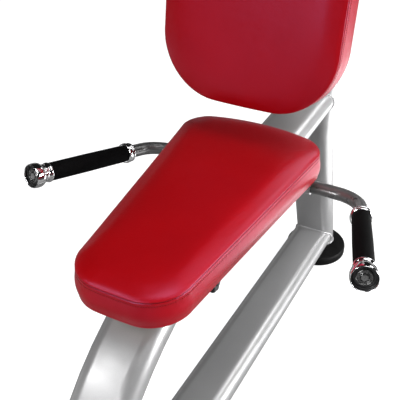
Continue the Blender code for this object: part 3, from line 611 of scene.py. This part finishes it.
def smooth_between(positions, values, wanted):
    """Cubic interpolation of rows of values given at increasing positions."""
    slopes = np.gradient(values, positions, axis=0)
    k = np.clip(np.searchsorted(positions, wanted) - 1, 0, len(positions) - 2)
    shape = (-1,) + (1,) * (values.ndim - 1)
    width = (positions[k + 1] - positions[k]).reshape(shape)
    t = (wanted - positions[k]).reshape(shape) / width
    from_start = (2 * t ** 3 - 3 * t ** 2 + 1) * values[k] + (t ** 3 - 2 * t ** 2 + t) * width * slopes[k]
    from_end = (3 * t ** 2 - 2 * t ** 3) * values[k + 1] + (t ** 3 - t ** 2) * width * slopes[k + 1]
    return from_start + from_end


def inflated(name, grid, pinned_rings):
    """How far each of the grid's points moves when the cover is blown up as cloth, with its seams held."""
    data, numbers = closed_grid(name, grid)
    pad = bpy.data.objects.new(name, data)
    bpy.context.scene.collection.objects.link(pad)
    held = pad.vertex_groups.new(name=PINNED)
    held.add(np.unique(numbers[pinned_rings]).tolist(), 1.0, "REPLACE")
    cloth = pad.modifiers.new("cloth", "CLOTH")
    cloth.settings.quality = 6
    cloth.settings.mass = 0.3
    cloth.settings.tension_stiffness = 15
    cloth.settings.compression_stiffness = 15
    cloth.settings.bending_stiffness = 12
    cloth.settings.use_pressure = True
    cloth.settings.uniform_pressure_force = 4
    cloth.settings.vertex_group_mass = PINNED
    cloth.settings.effector_weights.gravity = 0
    cloth.collision_settings.use_collision = False
    scene = bpy.context.scene
    for number in range(1, SIMULATED_FRAMES + 1):
        scene.frame_set(number)
    settled = pad.evaluated_get(bpy.context.evaluated_depsgraph_get()).to_mesh()
    moved = np.empty(len(settled.vertices) * 3, np.float32)
    settled.vertices.foreach_get("co", moved)
    moved = moved.reshape(-1, 3)[numbers] - grid
    scene.frame_set(1)
    bpy.data.objects.remove(pad)
    for _ in range(SMOOTHING_ROUNDS):  # foam fills out the small folds
        moved = (np.roll(moved, 1, axis=1) + 2 * moved + np.roll(moved, -1, axis=1)) / 4
    length = np.linalg.norm(moved, axis=-1, keepdims=True)
    return moved * SWELL_CAP * np.tanh(length / SWELL_CAP) / np.maximum(length, 1e-9)


def swelling(name, shape, rises):
    """The simulated swelling of a pad, at the fine grid's rings from its first rise on."""
    low, high = rises[0], rises[-1]
    under = len(POCKET_SHARES)
    side = np.linspace(low, 0, CAGE_SIDE_RINGS)
    roll = np.linspace(0, high, CAGE_ROLL_RINGS + 1)[1:]
    shares = np.arange(1, CAGE_CENTRE_RINGS + 1) / CAGE_CENTRE_RINGS
    coarse = pad_grid(shape, CAGE_AROUND, np.concatenate((side, roll)), shares)
    seam = under + len(side) - 1
    moved = inflated(name, coarse, [*range(under + 1), seam])[under:]
    at = np.concatenate((side, roll, high + shares))
    wanted = np.concatenate((rises, high + np.arange(1, CENTRE_RINGS + 1) / CENTRE_RINGS))
    fine = smooth_between(at, moved, wanted)
    margin = 3
    wrapped = np.concatenate((fine[:, -margin:], fine, fine[:, :margin]), axis=1).transpose(1, 0, 2)
    spots = np.arange(-margin, CAGE_AROUND + margin).astype(float)
    return smooth_between(spots, wrapped, np.arange(AROUND) * CAGE_AROUND / AROUND).transpose(1, 0, 2)


def ripples(length, rises, pitch, run, seed):
    """Noise that waves along the seam at this pitch and changes slowly across it. It joins up all round."""
    radius = length / (2 * math.pi * pitch)
    angles = 2 * math.pi * np.arange(AROUND) / AROUND
    places = [(radius * math.cos(a), radius * math.sin(a)) for a in angles]
    return np.array([[noise.noise((x, y, rise / run + seed)) for x, y in places] for rise in rises])


def hump(values, centre, width):
    """1 at the centre, falling off smoothly to each side of it."""
    return np.exp(-((values - centre) / width) ** 2)


def band(values, height, centre, width):
    return height * hump(values, centre, width)


def normals_of(grid):
    """Which way is out at each of the grid's points."""
    around = np.roll(grid, -1, axis=1) - np.roll(grid, 1, axis=1)
    across = np.gradient(grid, axis=0)
    normal = np.cross(around, across)
    return normal / np.maximum(np.linalg.norm(normal, axis=-1, keepdims=True), 1e-12)


BEND_WINDOW = 31  # points of the outline that a bend is averaged over


def corner_share(outline):
    """1 where the outline turns tightest, 0 where it is straight."""
    along = np.roll(outline, -1, axis=0) - outline
    heading = np.unwrap(np.arctan2(along[:, 1], along[:, 0]))
    bend = np.gradient(heading)
    bend[[0, -1]] = bend[[1, -2]]
    window = np.hanning(BEND_WINDOW)
    margin = BEND_WINDOW // 2
    padded = np.concatenate((bend[-margin:], bend, bend[:margin]))
    bend = np.convolve(padded, window / window.sum(), mode="valid")
    return np.clip(bend / bend.max(), 0, 1)


# Spacing of the rings: fine in a band about the seam, less so at the lower stitches, coarse elsewhere
SEAM_BAND_MIDDLE, SEAM_BAND, SEAM_STEP = -0.4 * MM, 4 * MM, 0.55 * MM
ROW_BAND, ROW_STEP = 1.6 * MM, 0.8 * MM
PLAIN_STEP, LAST_STEP = 1.7 * MM, 1.2 * MM


def pad_rises(shape):
    """Rises for the rings: close together at the seam and at the lower stitches, wider elsewhere."""
    distances = along_profile(edge_profile(shape["depth"], shape["crown"], shape["edge"]))
    low, high = distances[0], distances[-1]
    made = [low]
    while made[-1] < high - LAST_STEP:
        near_seam = abs(made[-1] - SEAM_BAND_MIDDLE) < SEAM_BAND
        near_row = abs(made[-1] - STITCH_ROW) < ROW_BAND
        made.append(made[-1] + (SEAM_STEP if near_seam else ROW_STEP if near_row else PLAIN_STEP))
    return np.array(made[:-1] + [high])


def gathering(rise, outline, length):
    """How much the cover is gathered at each point: below and above the seam, and most at the corners."""
    slow = ripples(length, [0.0], SLOW_PITCH, run=1.0, seed=3.0)[0]
    strength = GATHER_EVERYWHERE + GATHER_SLOWLY * slow + GATHER_AT_CORNERS * corner_share(outline)
    return (band(rise, *GATHERS_BELOW) + band(rise, *GATHERS_ABOVE)) * strength


def pad_relief(points, rises, rise, outline, length):
    """Each point's height over the plain cover, how much painted shade its seam groove and row dimples get,
    and how gathered the cover is there.
    """
    seam = hump(rise, 0, SEAM_WIDTH)
    dimple_turns = 2 * math.pi * np.arange(AROUND) * round(length / DIMPLE_PITCH) / AROUND
    row = hump(rise, STITCH_ROW, ROW_WIDTH) * (0.5 + 0.5 * np.cos(dimple_turns))
    relief = band(rise, *UPPER_RIDGE) + band(rise, *LOWER_RIDGE) - SEAM_DEPTH * seam - ROW_DEPTH * row

    spread = np.concatenate((rises, rises[-1] + np.arange(1, CENTRE_RINGS + 1) / CENTRE_RINGS * FACE_FADE))
    gathered = gathering(rise, outline, length)
    relief += GATHER_HEIGHT * gathered * ripples(length, spread, GATHER_PITCH, GATHER_RUN, seed=11.0)
    drawn = band(rise, *DRAWS) * (DRAW_EVERYWHERE + DRAW_AT_CORNERS * corner_share(outline))
    relief += DRAW_HEIGHT * drawn * ripples(length, spread, DRAW_PITCH, DRAW_RUN, seed=29.0)

    face = np.clip((rise - rises[-1]) / FACE_FADE, 0, 1)
    uneven = [[noise.noise(Vector(point) * FACE_LUMPS) for point in ring[::FACE_EVERY]] for ring in points]
    relief += FACE_HEIGHT * face * np.repeat(uneven, FACE_EVERY, axis=1)
    # painted shade share: full in the seam's groove, less in the row's dimples
    return relief, np.clip(seam + ROW_PAINTED_SHADE * row, 0, 1), gathered


def upholstered(name, shape, body, node):
    """A sewn, foam-filled pad: simulated swelling, a sunk seam with a ridge, a stitched row and gathers."""
    rises = pad_rises(shape)
    shares = np.arange(1, CENTRE_RINGS + 1) / CENTRE_RINGS
    grid = pad_grid(shape, AROUND, rises, shares)
    under = len(POCKET_SHARES)
    grid[under:] += swelling(name + "_cloth", shape, rises)
    outline, _ = outline_of(shape["half"], AROUND)
    length = np.linalg.norm(np.roll(outline, -1, axis=0) - outline, axis=1).sum()
    rise = np.concatenate((rises, rises[-1] + shares * FACE_SPAN))[:, None]
    relief, seam_shade_share, gathered = pad_relief(grid[under:], rises, rise, outline, length)

    normals = normals_of(grid)
    normals[-1] = normals[-2].mean(axis=0) / np.linalg.norm(normals[-2].mean(axis=0))
    mirrored = -np.arange(AROUND) % AROUND
    relief[-1] = (relief[-1] + relief[-1][mirrored]) / 2
    grid[under:] += normals[under:] * relief[:, :, None]
    grid[-1] = (grid[-1] + grid[-1][mirrored]) / 2

    data, numbers = closed_grid(name, grid)
    # the painted seam shade and the gathers are stored on the mesh for the leatherette to read
    for label, values in (("painted_seam_shade", seam_shade_share), ("gather", gathered)):
        held = np.zeros(len(data.vertices))
        held[numbers[under:]] = np.clip(values, 0, MOST_GATHERED)
        data.attributes.new(label, "FLOAT", "POINT").data.foreach_set("value", held)
    add_seam_map(data, numbers, length, np.concatenate((np.full(under, rises[0]), rise[:, 0])))
    made = piece(name, data, "leatherette", body, replaces=[node])
    for label, at in (("_seam_stitches", 0.0), ("_row_stitches", STITCH_ROW)):
        ring = under + int(np.argmin(np.abs(rises - at)))
        sewn = stitches(name + label, grid[ring], normals[ring], length)
        piece(name + label, sewn, "thread", body)


def add_seam_map(data, numbers, length, rise):
    """A UV map in metres: along the outline, and across it from the seam."""
    layer = data.uv_layers.new(name="along_seam")
    rings, around = numbers.shape
    i = np.arange(around)
    u = np.stack((i, i + 1, i + 1, i), axis=-1) * length / around
    values = np.empty((rings - 1, around, 4, 2))
    values[..., 0] = u
    values[..., :2, 1] = rise[:-1, None, None]
    values[..., 2:, 1] = rise[1:, None, None]
    layer.data.foreach_set("uv", values.ravel())


def stitches(name, line, normals, length, sides=6, stations=5):
    """A row of short threads that dip into the cover at both ends."""
    count = int(length / STITCH_PITCH)
    spacing = len(line) / count
    points, faces = [], []
    spots = np.arange(len(line) + 2).astype(float)
    line = np.concatenate((line, line[:2]))
    normals = np.concatenate((normals, normals[:2]))

    def between(rows, at):
        return Vector([np.interp(at, spots, rows[:, axis]) for axis in range(3)])

    for number in range(count):
        starts = []
        for k in range(stations):
            t = k / (stations - 1)
            at = number * spacing + t * STITCH_SHARE * spacing
            centre, out = between(line, at), between(normals, at).normalized()
            ahead = (between(line, at + 0.5) - centre).normalized()
            lift = math.sin(math.pi * t)
            centre += out * THREAD_RADIUS * (1.6 * lift - 0.5)
            aside = ahead.cross(out)
            girth = THREAD_RADIUS * (0.55 + 0.45 * lift)
            starts.append(len(points))
            for side in range(sides):
                angle = 2 * math.pi * side / sides
                points.append(centre + aside * girth * math.cos(angle) + out * girth * math.sin(angle))
        for a, b in zip(starts, starts[1:]):
            for side in range(sides):
                other = (side + 1) % sides
                faces.append((a + side, a + other, b + other, b + side))
        faces.append(tuple(starts[0] + side for side in reversed(range(sides))))
        faces.append(tuple(starts[-1] + side for side in range(sides)))
    return outward(mesh_from(name, points, faces))


def seat_place(x, y, height):
    """A point of the seat: these places across and along it, and this far above its seam."""
    return (x, y, SEAT_SEAM_Z + height)


def back_place(x, up, forward):
    """A point of the backrest: this far up its plane, and this far before its seam."""
    rise = Vector((0, math.sin(BACK_RECLINE), math.cos(BACK_RECLINE)))
    rearward = Vector((0, math.cos(BACK_RECLINE), -math.sin(BACK_RECLINE)))
    return tuple(Vector((x, BACK_Y, BACK_Z)) + rise * up - rearward * forward)


SEAT = {
    "half": bowed_outline((SEAT_FRONT_HALF, SEAT_REAR_HALF), (SEAT_REAR_Y - SEAT_LENGTH, SEAT_REAR_Y),
                          (SEAT_FRONT_CORNER, SEAT_REAR_CORNER), (SEAT_FRONT_BULGE, SEAT_REAR_BULGE),
                          SEAT_SIDE_BOW),
    "depth": SEAT_DEPTH, "crown": SEAT_CROWN, "edge": SEAT_EDGE, "end_inset": 0.10, "place": seat_place,
}
BACK = {
    "half": bowed_outline((BACK_HALF, BACK_HALF), (0.0, BACK_HEIGHT),
                          (BACK_LOW_CORNER, BACK_HIGH_CORNER), (BACK_BULGE, BACK_BULGE)),
    "depth": BACK_DEPTH, "crown": BACK_CROWN, "edge": BACK_EDGE, "end_inset": 0.12, "place": back_place,
}


def add_upholstery():
    """The seat's and the backrest's sewn pads."""
    upholstered("seat_cushion", SEAT, "seat", "seat_pad")
    upholstered("backrest_cushion", BACK, "frame", "backrest_pad")


# Grips

def add_grip(side, sign):
    """The chrome collar, foam sleeve, chrome neck and chrome cap, and the cap's black insert with its hub.

    Each profile is a list of (radius, distance along the grip) points.
    """
    mirror = Vector((sign, 1, 1))
    along = HANDLE_DIRECTION * mirror
    corner = Vector((sign * HANDLE_CORNER_X, HANDLE_Y, RAIL_Z))

    def at(distance):
        return pointing(corner + along * (GRIP_START + distance), along)

    def add(name, profile, distance, look, node, soft=1.0 * MM, **more):
        data = turned(name + side, softened(profile, soft), at(distance), **more)
        piece(name + side, data, look, "frame", replaces=[node + side])

    bore = GRIP_BORE
    end = COLLAR_LENGTH - TOUCH_GAP
    collar = [(bore, 0), (0.0165, 0), (0.0180, 0.0012), (0.0180, 0.0040), (0.0160, 0.0052), (0.0160, 0.0066),
              (0.0190, 0.0080), (0.0190, 0.0140), (0.0176, end), (bore, end)]
    add("collar_", collar, 0, "chrome", "grip_collar_", 1.4 * MM)

    sleeve_start = COLLAR_LENGTH
    sleeve = [(bore, 0), (GRIP_RADIUS - 0.0004, 0), (GRIP_RADIUS, 0.004), (GRIP_RADIUS + 0.0002, 0.05),
              (GRIP_RADIUS + 0.0004, 0.09), (GRIP_RADIUS + 0.0002, 0.13), (GRIP_RADIUS, GRIP_LENGTH - 0.004),
              (GRIP_RADIUS - 0.0004, GRIP_LENGTH - TOUCH_GAP), (bore, GRIP_LENGTH - TOUCH_GAP)]
    add("sleeve_", sleeve, sleeve_start, "grip_foam", "grip_sleeve_", 1.8 * MM)

    neck_start = sleeve_start + GRIP_LENGTH
    neck = [(bore, 0), (0.0168, 0), (0.0175, 0.0022), (0.0168, 0.0046), (0.0152, 0.0060), (0.0150, 0.0090),
            (0.0158, 0.0104), (0.0162, NECK_LENGTH - TOUCH_GAP), (bore, NECK_LENGTH - TOUCH_GAP)]
    add("neck_", neck, neck_start, "chrome", "grip_neck_", 1.3 * MM)

    cap_start = neck_start + NECK_LENGTH
    lip = CAP_RADIUS - CAP_WALL
    cap = [(SCREW_HOLE, 0), (0.0160, 0), (0.0172, 0.0022), (0.0198, 0.0050), (CAP_RADIUS, 0.0090),
           (CAP_RADIUS, 0.0160), (0.0208, 0.0200), (0.0198, CAP_LENGTH), (lip, 0.0205), (lip, CAP_FLOOR),
           (SCREW_HOLE, CAP_FLOOR)]
    add("cap_", cap, cap_start, "chrome", "grip_cap_", 2.2 * MM)

    floor = cap_start + CAP_FLOOR
    hole, rim = SCREW_HOLE + 0.1 * MM, lip - TOUCH_GAP
    insert = [(hole, TOUCH_GAP), (rim, TOUCH_GAP), (rim, 0.0040), (rim - 0.0012, 0.0040),
              (rim - 0.0022, 0.0014), (hole, 0.0014)]
    add("insert_", insert, floor, "black_plastic", "cap_insert_", 0.4 * MM)
    hub = [(hole, 0.0017), (0.0122, 0.0017), (0.0122, 0.0052), (0.0112, 0.0060), (0.0100, 0.0060),
           (0.0094, 0.0046), (0.0082, 0.0046), (0.0076, 0.0054), (0.0066, 0.0054), (0.0061, 0.0020),
           (hole, 0.0020)]
    data = turned("hub_" + side, softened(hub, 0.5 * MM), at(floor))
    piece("hub_" + side, data, "dark_metal", "frame")


# Feet and clamp

def add_feet():
    """Rubber discs: a rounded top edge, a groove round the side, and a pocket for the bolt underneath."""
    bore, pocket = BOLT_HOLE, BOLT_POCKET
    profile = [
        (bore, 0.009), (pocket, 0.009), (pocket, 0), (DISC_RADIUS - 0.0015, 0), (DISC_RADIUS, 0.0015),
        (DISC_RADIUS, 0.0170), (DISC_RADIUS - 0.0009, 0.0176), (DISC_RADIUS - 0.0009, 0.0188),
        (DISC_RADIUS - 0.0004, 0.0194), (DISC_RADIUS - 0.0030, DISC_HEIGHT), (bore, DISC_HEIGHT),
    ]
    places = {
        "rear": (0, REAR_Y),
        "front_left": (FRONT_TRACK / 2, FRONT_Y),
        "front_right": (-FRONT_TRACK / 2, FRONT_Y),
    }
    for name, (x, y) in places.items():
        data = turned("disc_" + name, softened(profile, 1.0 * MM), Matrix.Translation((x, y, 0)), steps=128)
        piece("disc_" + name, data, "rubber", "frame", replaces=["foot_disc_" + name])


def add_knob():
    """A star knob on a round neck."""
    low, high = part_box("clamp_knob")
    centre = Vector((low.x, CLAMP_Y, RAIL_Z))
    length = high.x - low.x
    neck_radius, neck_end, lobes_start = 0.0085, 0.0022, 0.0048
    tip, dimple = length - 0.0004, BOLT_HOLE * 0.4
    profile = [
        (BOLT_HOLE, 0), (neck_radius, 0), (neck_radius, neck_end), (KNOB_RADIUS, lobes_start),
        (KNOB_RADIUS, length - 0.0030), (KNOB_RADIUS * 0.86, length), (KNOB_RADIUS * 0.30, tip),
        (dimple, tip), (dimple, 0.0125), (BOLT_HOLE, 0.0125),
    ]

    def lobes(angle, z):
        share = min(1.0, max(0.0, (z - neck_end) / (lobes_start - neck_end)))
        return 1 - LOBE_DEPTH * share * (0.5 - 0.5 * math.cos(KNOB_LOBES * angle))

    data = turned("star_knob", softened(profile, 0.9 * MM), pointing(centre, X_AXIS), steps=120, swell=lobes)
    piece("star_knob", data, "black_plastic", "clamp", replaces=["clamp_knob"])


# Welds

POST_SLANT = math.sqrt(1 + POST_LEAN ** 2)  # how much longer a level cut through the leaning post is
FULLEST = 0.88  # share of the tube's radius that a weld climbs round, at most
BEAD_WAIST, BEAD_SWELL, BEAD_UNEVEN, BEAD_LUMPS = 0.86, 0.20, 0.10, 220  # shares of its radius; lumps a metre


def flat_oval(steps=14, flat_steps=8):
    """The tube's section: (across, up) points."""
    right = arc((TUBE_FLAT, 0), TUBE_ROUND, -90, 90, steps)
    left = arc((-TUBE_FLAT, 0), TUBE_ROUND, 90, 270, steps)
    flat = [((1 - i / flat_steps) * 2 * TUBE_FLAT - TUBE_FLAT, TUBE_ROUND) for i in range(1, flat_steps)]
    return right + flat + left + [(-u, -v) for u, v in flat]


def oval_depth(across):
    """How far the tube's flat face stands out from its middle, this far across."""
    beyond = min(max(0.0, abs(across) - TUBE_FLAT), TUBE_ROUND * FULLEST)
    return math.sqrt(TUBE_ROUND ** 2 - beyond ** 2)


def bead(name, path, radius, pitch=2.6 * MM, sides=8):
    """A weld along a closed path: a round bead whose girth rises and falls with each drop of metal."""
    path = [Vector(point) for point in path]
    path.append(path[0])
    lengths = [0.0]
    for a, b in zip(path, path[1:]):
        lengths.append(lengths[-1] + (b - a).length)
    count = int(lengths[-1] / (pitch / 4))
    step = lengths[-1] / count
    columns = [[point[axis] for point in path] for axis in range(3)]
    centres = [Vector([np.interp(i * step, lengths, column) for column in columns]) for i in range(count)]
    points, faces = [], []
    for i, centre in enumerate(centres):
        ahead = (centres[(i + 1) % count] - centres[i - 1]).normalized()
        aside = ahead.orthogonal() if abs(ahead.z) > 0.95 else ahead.cross(Z_AXIS)
        aside.normalize()
        up = aside.cross(ahead).normalized()
        drop = abs(math.sin(math.pi * i * step / pitch))
        girth = radius * (BEAD_WAIST + BEAD_SWELL * drop + BEAD_UNEVEN * noise.noise(centre * BEAD_LUMPS))
        here, following = i * sides, (i + 1) % count * sides
        for side in range(sides):
            angle = 2 * math.pi * side / sides
            points.append(centre + aside * girth * math.cos(angle) + up * girth * math.sin(angle))
            other = (side + 1) % sides
            faces.append((here + side, here + other, following + other, following + side))
    piece(name, outward(mesh_from(name, points, faces)), "frame_paint", "frame")


def add_base_welds():
    """Where the sloping base tube meets the leaning post behind and the upright leg in front."""
    forward = Vector((0, -1, BASE_RISE)).normalized()
    normal = Vector((0, BASE_RISE, 1)).normalized()
    rear, front = [], []
    for u, v in flat_oval():
        start = Vector((u, 0, BASE_REAR_Z + BASE_RISE * REAR_Y)) + normal * v
        post_face = POST_FLOOR_Y - oval_depth(u) * POST_SLANT
        travel = (post_face - POST_LEAN * start.z - start.y) / (-forward.y - POST_LEAN * forward.z)
        rear.append(start - forward * travel)
        rear[-1].y = post_face - POST_LEAN * rear[-1].z
        front.append(start + forward * (FRONT_Y + oval_depth(u) - start.y) / forward.y)
    bead("weld_base_rear", rear, 3.0 * MM)
    bead("weld_base_front", front, 2.4 * MM)


def add_tube_welds():
    """Round the seat rail at the post, and round the feet of the leg and the post."""
    bead("weld_rail", [(u, POST_Y - oval_depth(u), RAIL_Z + v) for u, v in flat_oval()], 2.4 * MM)
    cross_top = DISC_HEIGHT + 2 * (TUBE_ROUND + TOUCH_GAP)
    bead("weld_leg", [(u, FRONT_Y + v, cross_top) for u, v in flat_oval()], 2.4 * MM)
    low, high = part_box("rear_foot_plate")
    plate_y = (low.y + high.y) / 2
    bead("weld_post_foot", [(u, plate_y + v * POST_SLANT, high.z) for u, v in flat_oval()], 1.8 * MM)


def add_arm_welds():
    """Round both ends of the square arm that holds the backrest."""
    half = BACK_ARM_HALF
    arm = softened([(half, half), (-half, half), (-half, -half), (half, -half)], BACK_ARM_CORNER)
    bead("weld_arm_post", [(u, POST_Y - oval_depth(u), BACK_ARM_Z + v) for u, v in arm], 2.2 * MM)
    up = (BACK_ARM_Z - BACK_Z) / math.cos(BACK_RECLINE)
    behind = -(BACK_DEPTH + BACK_PLATE_DEPTH)
    bead("weld_arm_plate", [back_place(u, up + v, behind) for u, v in arm], 2.2 * MM)


def add_socket_weld(side, sign):
    """Round the foot of a handle's socket, on the rail's rounded side."""
    ring = []
    for u, v in arc((0, 0), SOCKET_RADIUS, 0, 345, 23):
        x = TUBE_FLAT + math.sqrt(TUBE_ROUND ** 2 - v ** 2)
        ring.append((sign * x, HANDLE_Y + u, RAIL_Z + v))
    bead("weld_socket_" + side, ring, 1.9 * MM)


# Carried-over CAD nodes

SHARP_DEGREES = 35
WELD_DISTANCE = 1e-6


def smooth_by_angle():
    """A modifier's node group that shades a mesh smooth, apart from its sharp edges."""
    group = bpy.data.node_groups.new("smooth_by_angle", "GeometryNodeTree")
    group.is_modifier = True
    group.interface.new_socket("Geometry", in_out="INPUT", socket_type="NodeSocketGeometry")
    group.interface.new_socket("Geometry", in_out="OUTPUT", socket_type="NodeSocketGeometry")
    start, end = group.nodes.new("NodeGroupInput"), group.nodes.new("NodeGroupOutput")
    faces, edges = (group.nodes.new("GeometryNodeSetShadeSmooth") for _ in range(2))
    faces.domain, edges.domain = "FACE", "EDGE"
    angle = group.nodes.new("GeometryNodeInputMeshEdgeAngle")
    gentle = group.nodes.new("FunctionNodeCompare")
    gentle.operation = "LESS_THAN"
    gentle.inputs["B"].default_value = math.radians(SHARP_DEGREES)
    links = group.links
    links.new(angle.outputs["Unsigned Angle"], gentle.inputs["A"])
    links.new(gentle.outputs["Result"], edges.inputs["Shade Smooth"])
    links.new(start.outputs["Geometry"], faces.inputs["Geometry"])
    links.new(faces.outputs["Geometry"], edges.inputs["Geometry"])
    links.new(edges.outputs["Geometry"], end.inputs["Geometry"])
    return group


def finish_cad_nodes():
    """Gives every CAD node the look of its slot, and even shading across its flat faces."""
    slots = {part["node"]: part["material_slot"] for part in frame["record"]["subparts"]}
    rounding = smooth_by_angle()
    for name, node in frame["nodes"].items():
        look = LOOKS["dark_metal" if name.startswith("cap_screw") else slots[name]]
        node.data.materials.clear()
        node.data.materials.append(look)
        for polygon in node.data.polygons:
            polygon.material_index = 0
        join = node.modifiers.new("join", "WELD")
        join.merge_threshold = WELD_DISTANCE
        smooth = node.modifiers.new("smooth", "NODES")
        smooth.node_group = rounding
        even = node.modifiers.new("even_shading", "WEIGHTED_NORMAL")
        even.keep_sharp = True


# Studio

FLOOR_GLOW = 0.96  # of the paper under the machine, where the camera looks straight at it
BACKDROP_SEEN = 1.0
BACKDROP_RETURNED, SWEEP_RETURNED = 0.010, 0.6  # where light bounces: dark studio, low white sweep
SWEEP_FORE_AND_AFT = (-1.4, 0.6)  # the direction's Y, from where the sweep starts to where it is full
SWEEP_UP = (0.20, 0.04)  # the same for its Z

LIGHT_TARGET = (0, 0, 0.6)
SOFTBOXES = (  # name, place, width and height, watts
    ("front_left_softbox", (-1.6, -2.2, 2.65), (1.0, 1.0), 22),
    ("front_softbox", (-0.3, -3.3, 1.9), (1.0, 0.8), 54),
    ("right_softbox", (3.2, 1.1, 1.0), (2.0, 1.4), 145),
    ("rear_right_softbox", (1.3, 2.9, 2.6), (1.3, 1.1), 26),
    ("overhead_softbox", (1.0, -0.1, 3.2), (1.6, 2.2), 42),
)
CARD_HEIGHT = 0.03
FLOOR_CARDS = (  # name, place on the floor, side, watts: each lights the machine from below
    ("rear_right_card", (1.0, 1.1), 1.5, 18),
    ("front_right_card", (1.1, -2.3), 1.0, 3.0),
    ("front_left_card", (-0.9, -2.1), 1.2, 3.5),
    ("left_card", (-2.2, -0.8), 1.2, 4.5),
)

CAMERA_PLACE = (0.4085, -0.9272, 1.2378)
CAMERA_TURN, CAMERA_TILT, CAMERA_ROLL = math.radians(26.89), math.radians(35.31), math.radians(-0.21)
LENS, SENSOR_WIDTH = 58.99, 36


def add_floor():
    """A plain sheet, much larger than the view."""
    mesh = bmesh.new()
    bmesh.ops.create_grid(mesh, x_segments=1, y_segments=1, size=40)
    data = bpy.data.meshes.new("studio_floor")
    mesh.to_mesh(data)
    mesh.free()
    floor = bpy.data.objects.new("studio_floor", data)
    bpy.context.scene.collection.objects.link(floor)
    data.materials.append(floor_look())


def by_ray(tree, seen, otherwise):
    """One strength where the camera looks straight at it, and another where light bounces."""
    straight = fed(tree, "LightPath", {}).outputs["Is Camera Ray"]
    return fed(tree, "Mix", {"Factor": straight, "A": otherwise, "B": seen}).outputs["Result"]


def floor_look():
    """White paper: it glows a little where it is looked at, so that shadows on it stay faint."""
    look = Look("studio_floor", (0.3, 0.3, 0.3), 0.9)
    look.setting("Specular IOR Level", 0.0)
    look.setting("Emission Color", (1, 1, 1, 1))
    look.feed("Emission Strength", by_ray(look.tree, FLOOR_GLOW, 0.0))
    return look.material


def add_light(name, place, target, size, power):
    """A rectangular area light that faces its target."""
    light = bpy.data.lights.new(name, "AREA")
    light.shape = "RECTANGLE"
    light.size, light.size_y = size
    light.energy = power
    lamp = bpy.data.objects.new(name, light)
    bpy.context.scene.collection.objects.link(lamp)
    lamp.matrix_world = pointing(place, Vector(place) - Vector(target))


def backdrop_glow(tree):
    """What light bounces off: a white sweep behind the machine, up to a low height, and dark elsewhere."""
    split = fed(tree, "SeparateXYZ", {"Vector": fed(tree, "TexCoord", {}).outputs["Generated"]})
    shares = []
    for axis, (low, high) in (("Y", SWEEP_FORE_AND_AFT), ("Z", SWEEP_UP)):
        made = fed(tree, "MapRange", {"Value": split.outputs[axis], "From Min": low, "From Max": high})
        made.interpolation_type = "SMOOTHSTEP"
        shares.append(made.outputs["Result"])
    sweep = fed(tree, "Math", {0: shares[0], 1: shares[1]}, "MULTIPLY").outputs["Value"]
    inputs = {"Value": sweep, "To Min": BACKDROP_RETURNED, "To Max": SWEEP_RETURNED}
    return fed(tree, "MapRange", inputs).outputs["Result"]


def add_backdrop():
    world = bpy.data.worlds.new("studio")
    bpy.context.scene.world = world
    world.use_nodes = True
    tree = world.node_tree
    backdrop = tree.nodes["Background"]
    backdrop.inputs["Color"].default_value = (1, 1, 1, 1)
    tree.links.new(by_ray(tree, BACKDROP_SEEN, backdrop_glow(tree)), backdrop.inputs["Strength"])
    bpy.context.scene.view_settings.view_transform = "Standard"


def add_lights():
    for name, place, size, power in SOFTBOXES:
        add_light(name, place, LIGHT_TARGET, size, power)
    for name, (x, y), side, power in FLOOR_CARDS:
        add_light(name, (x, y, CARD_HEIGHT), (x, y, 1.0), (side, side), power)


def add_camera():
    """Looks down at the machine from its front and left."""
    across = Vector((math.cos(CAMERA_TURN), math.sin(CAMERA_TURN), 0))
    level = Vector((-math.sin(CAMERA_TURN), math.cos(CAMERA_TURN), 0))
    ahead = level * math.cos(CAMERA_TILT) - Z_AXIS * math.sin(CAMERA_TILT)
    up = across.cross(ahead)
    right = across * math.cos(CAMERA_ROLL) + up * math.sin(CAMERA_ROLL)
    above = up * math.cos(CAMERA_ROLL) - across * math.sin(CAMERA_ROLL)
    lens = bpy.data.cameras.new("camera")
    lens.lens, lens.sensor_width = LENS, SENSOR_WIDTH
    camera = bpy.data.objects.new("camera", lens)
    bpy.context.scene.collection.objects.link(camera)
    turn = Matrix((right, above, -ahead)).transposed().to_4x4()
    camera.matrix_world = Matrix.Translation(CAMERA_PLACE) @ turn
    bpy.context.scene.camera = camera


add_upholstery()
for side, sign in SIDES.items():
    add_grip(side, sign)
add_feet()
add_knob()
add_base_welds()
add_tube_welds()
add_arm_welds()
for side, sign in SIDES.items():
    add_socket_weld(side, sign)
finish_cad_nodes()
add_floor()
add_backdrop()
add_lights()
add_camera()
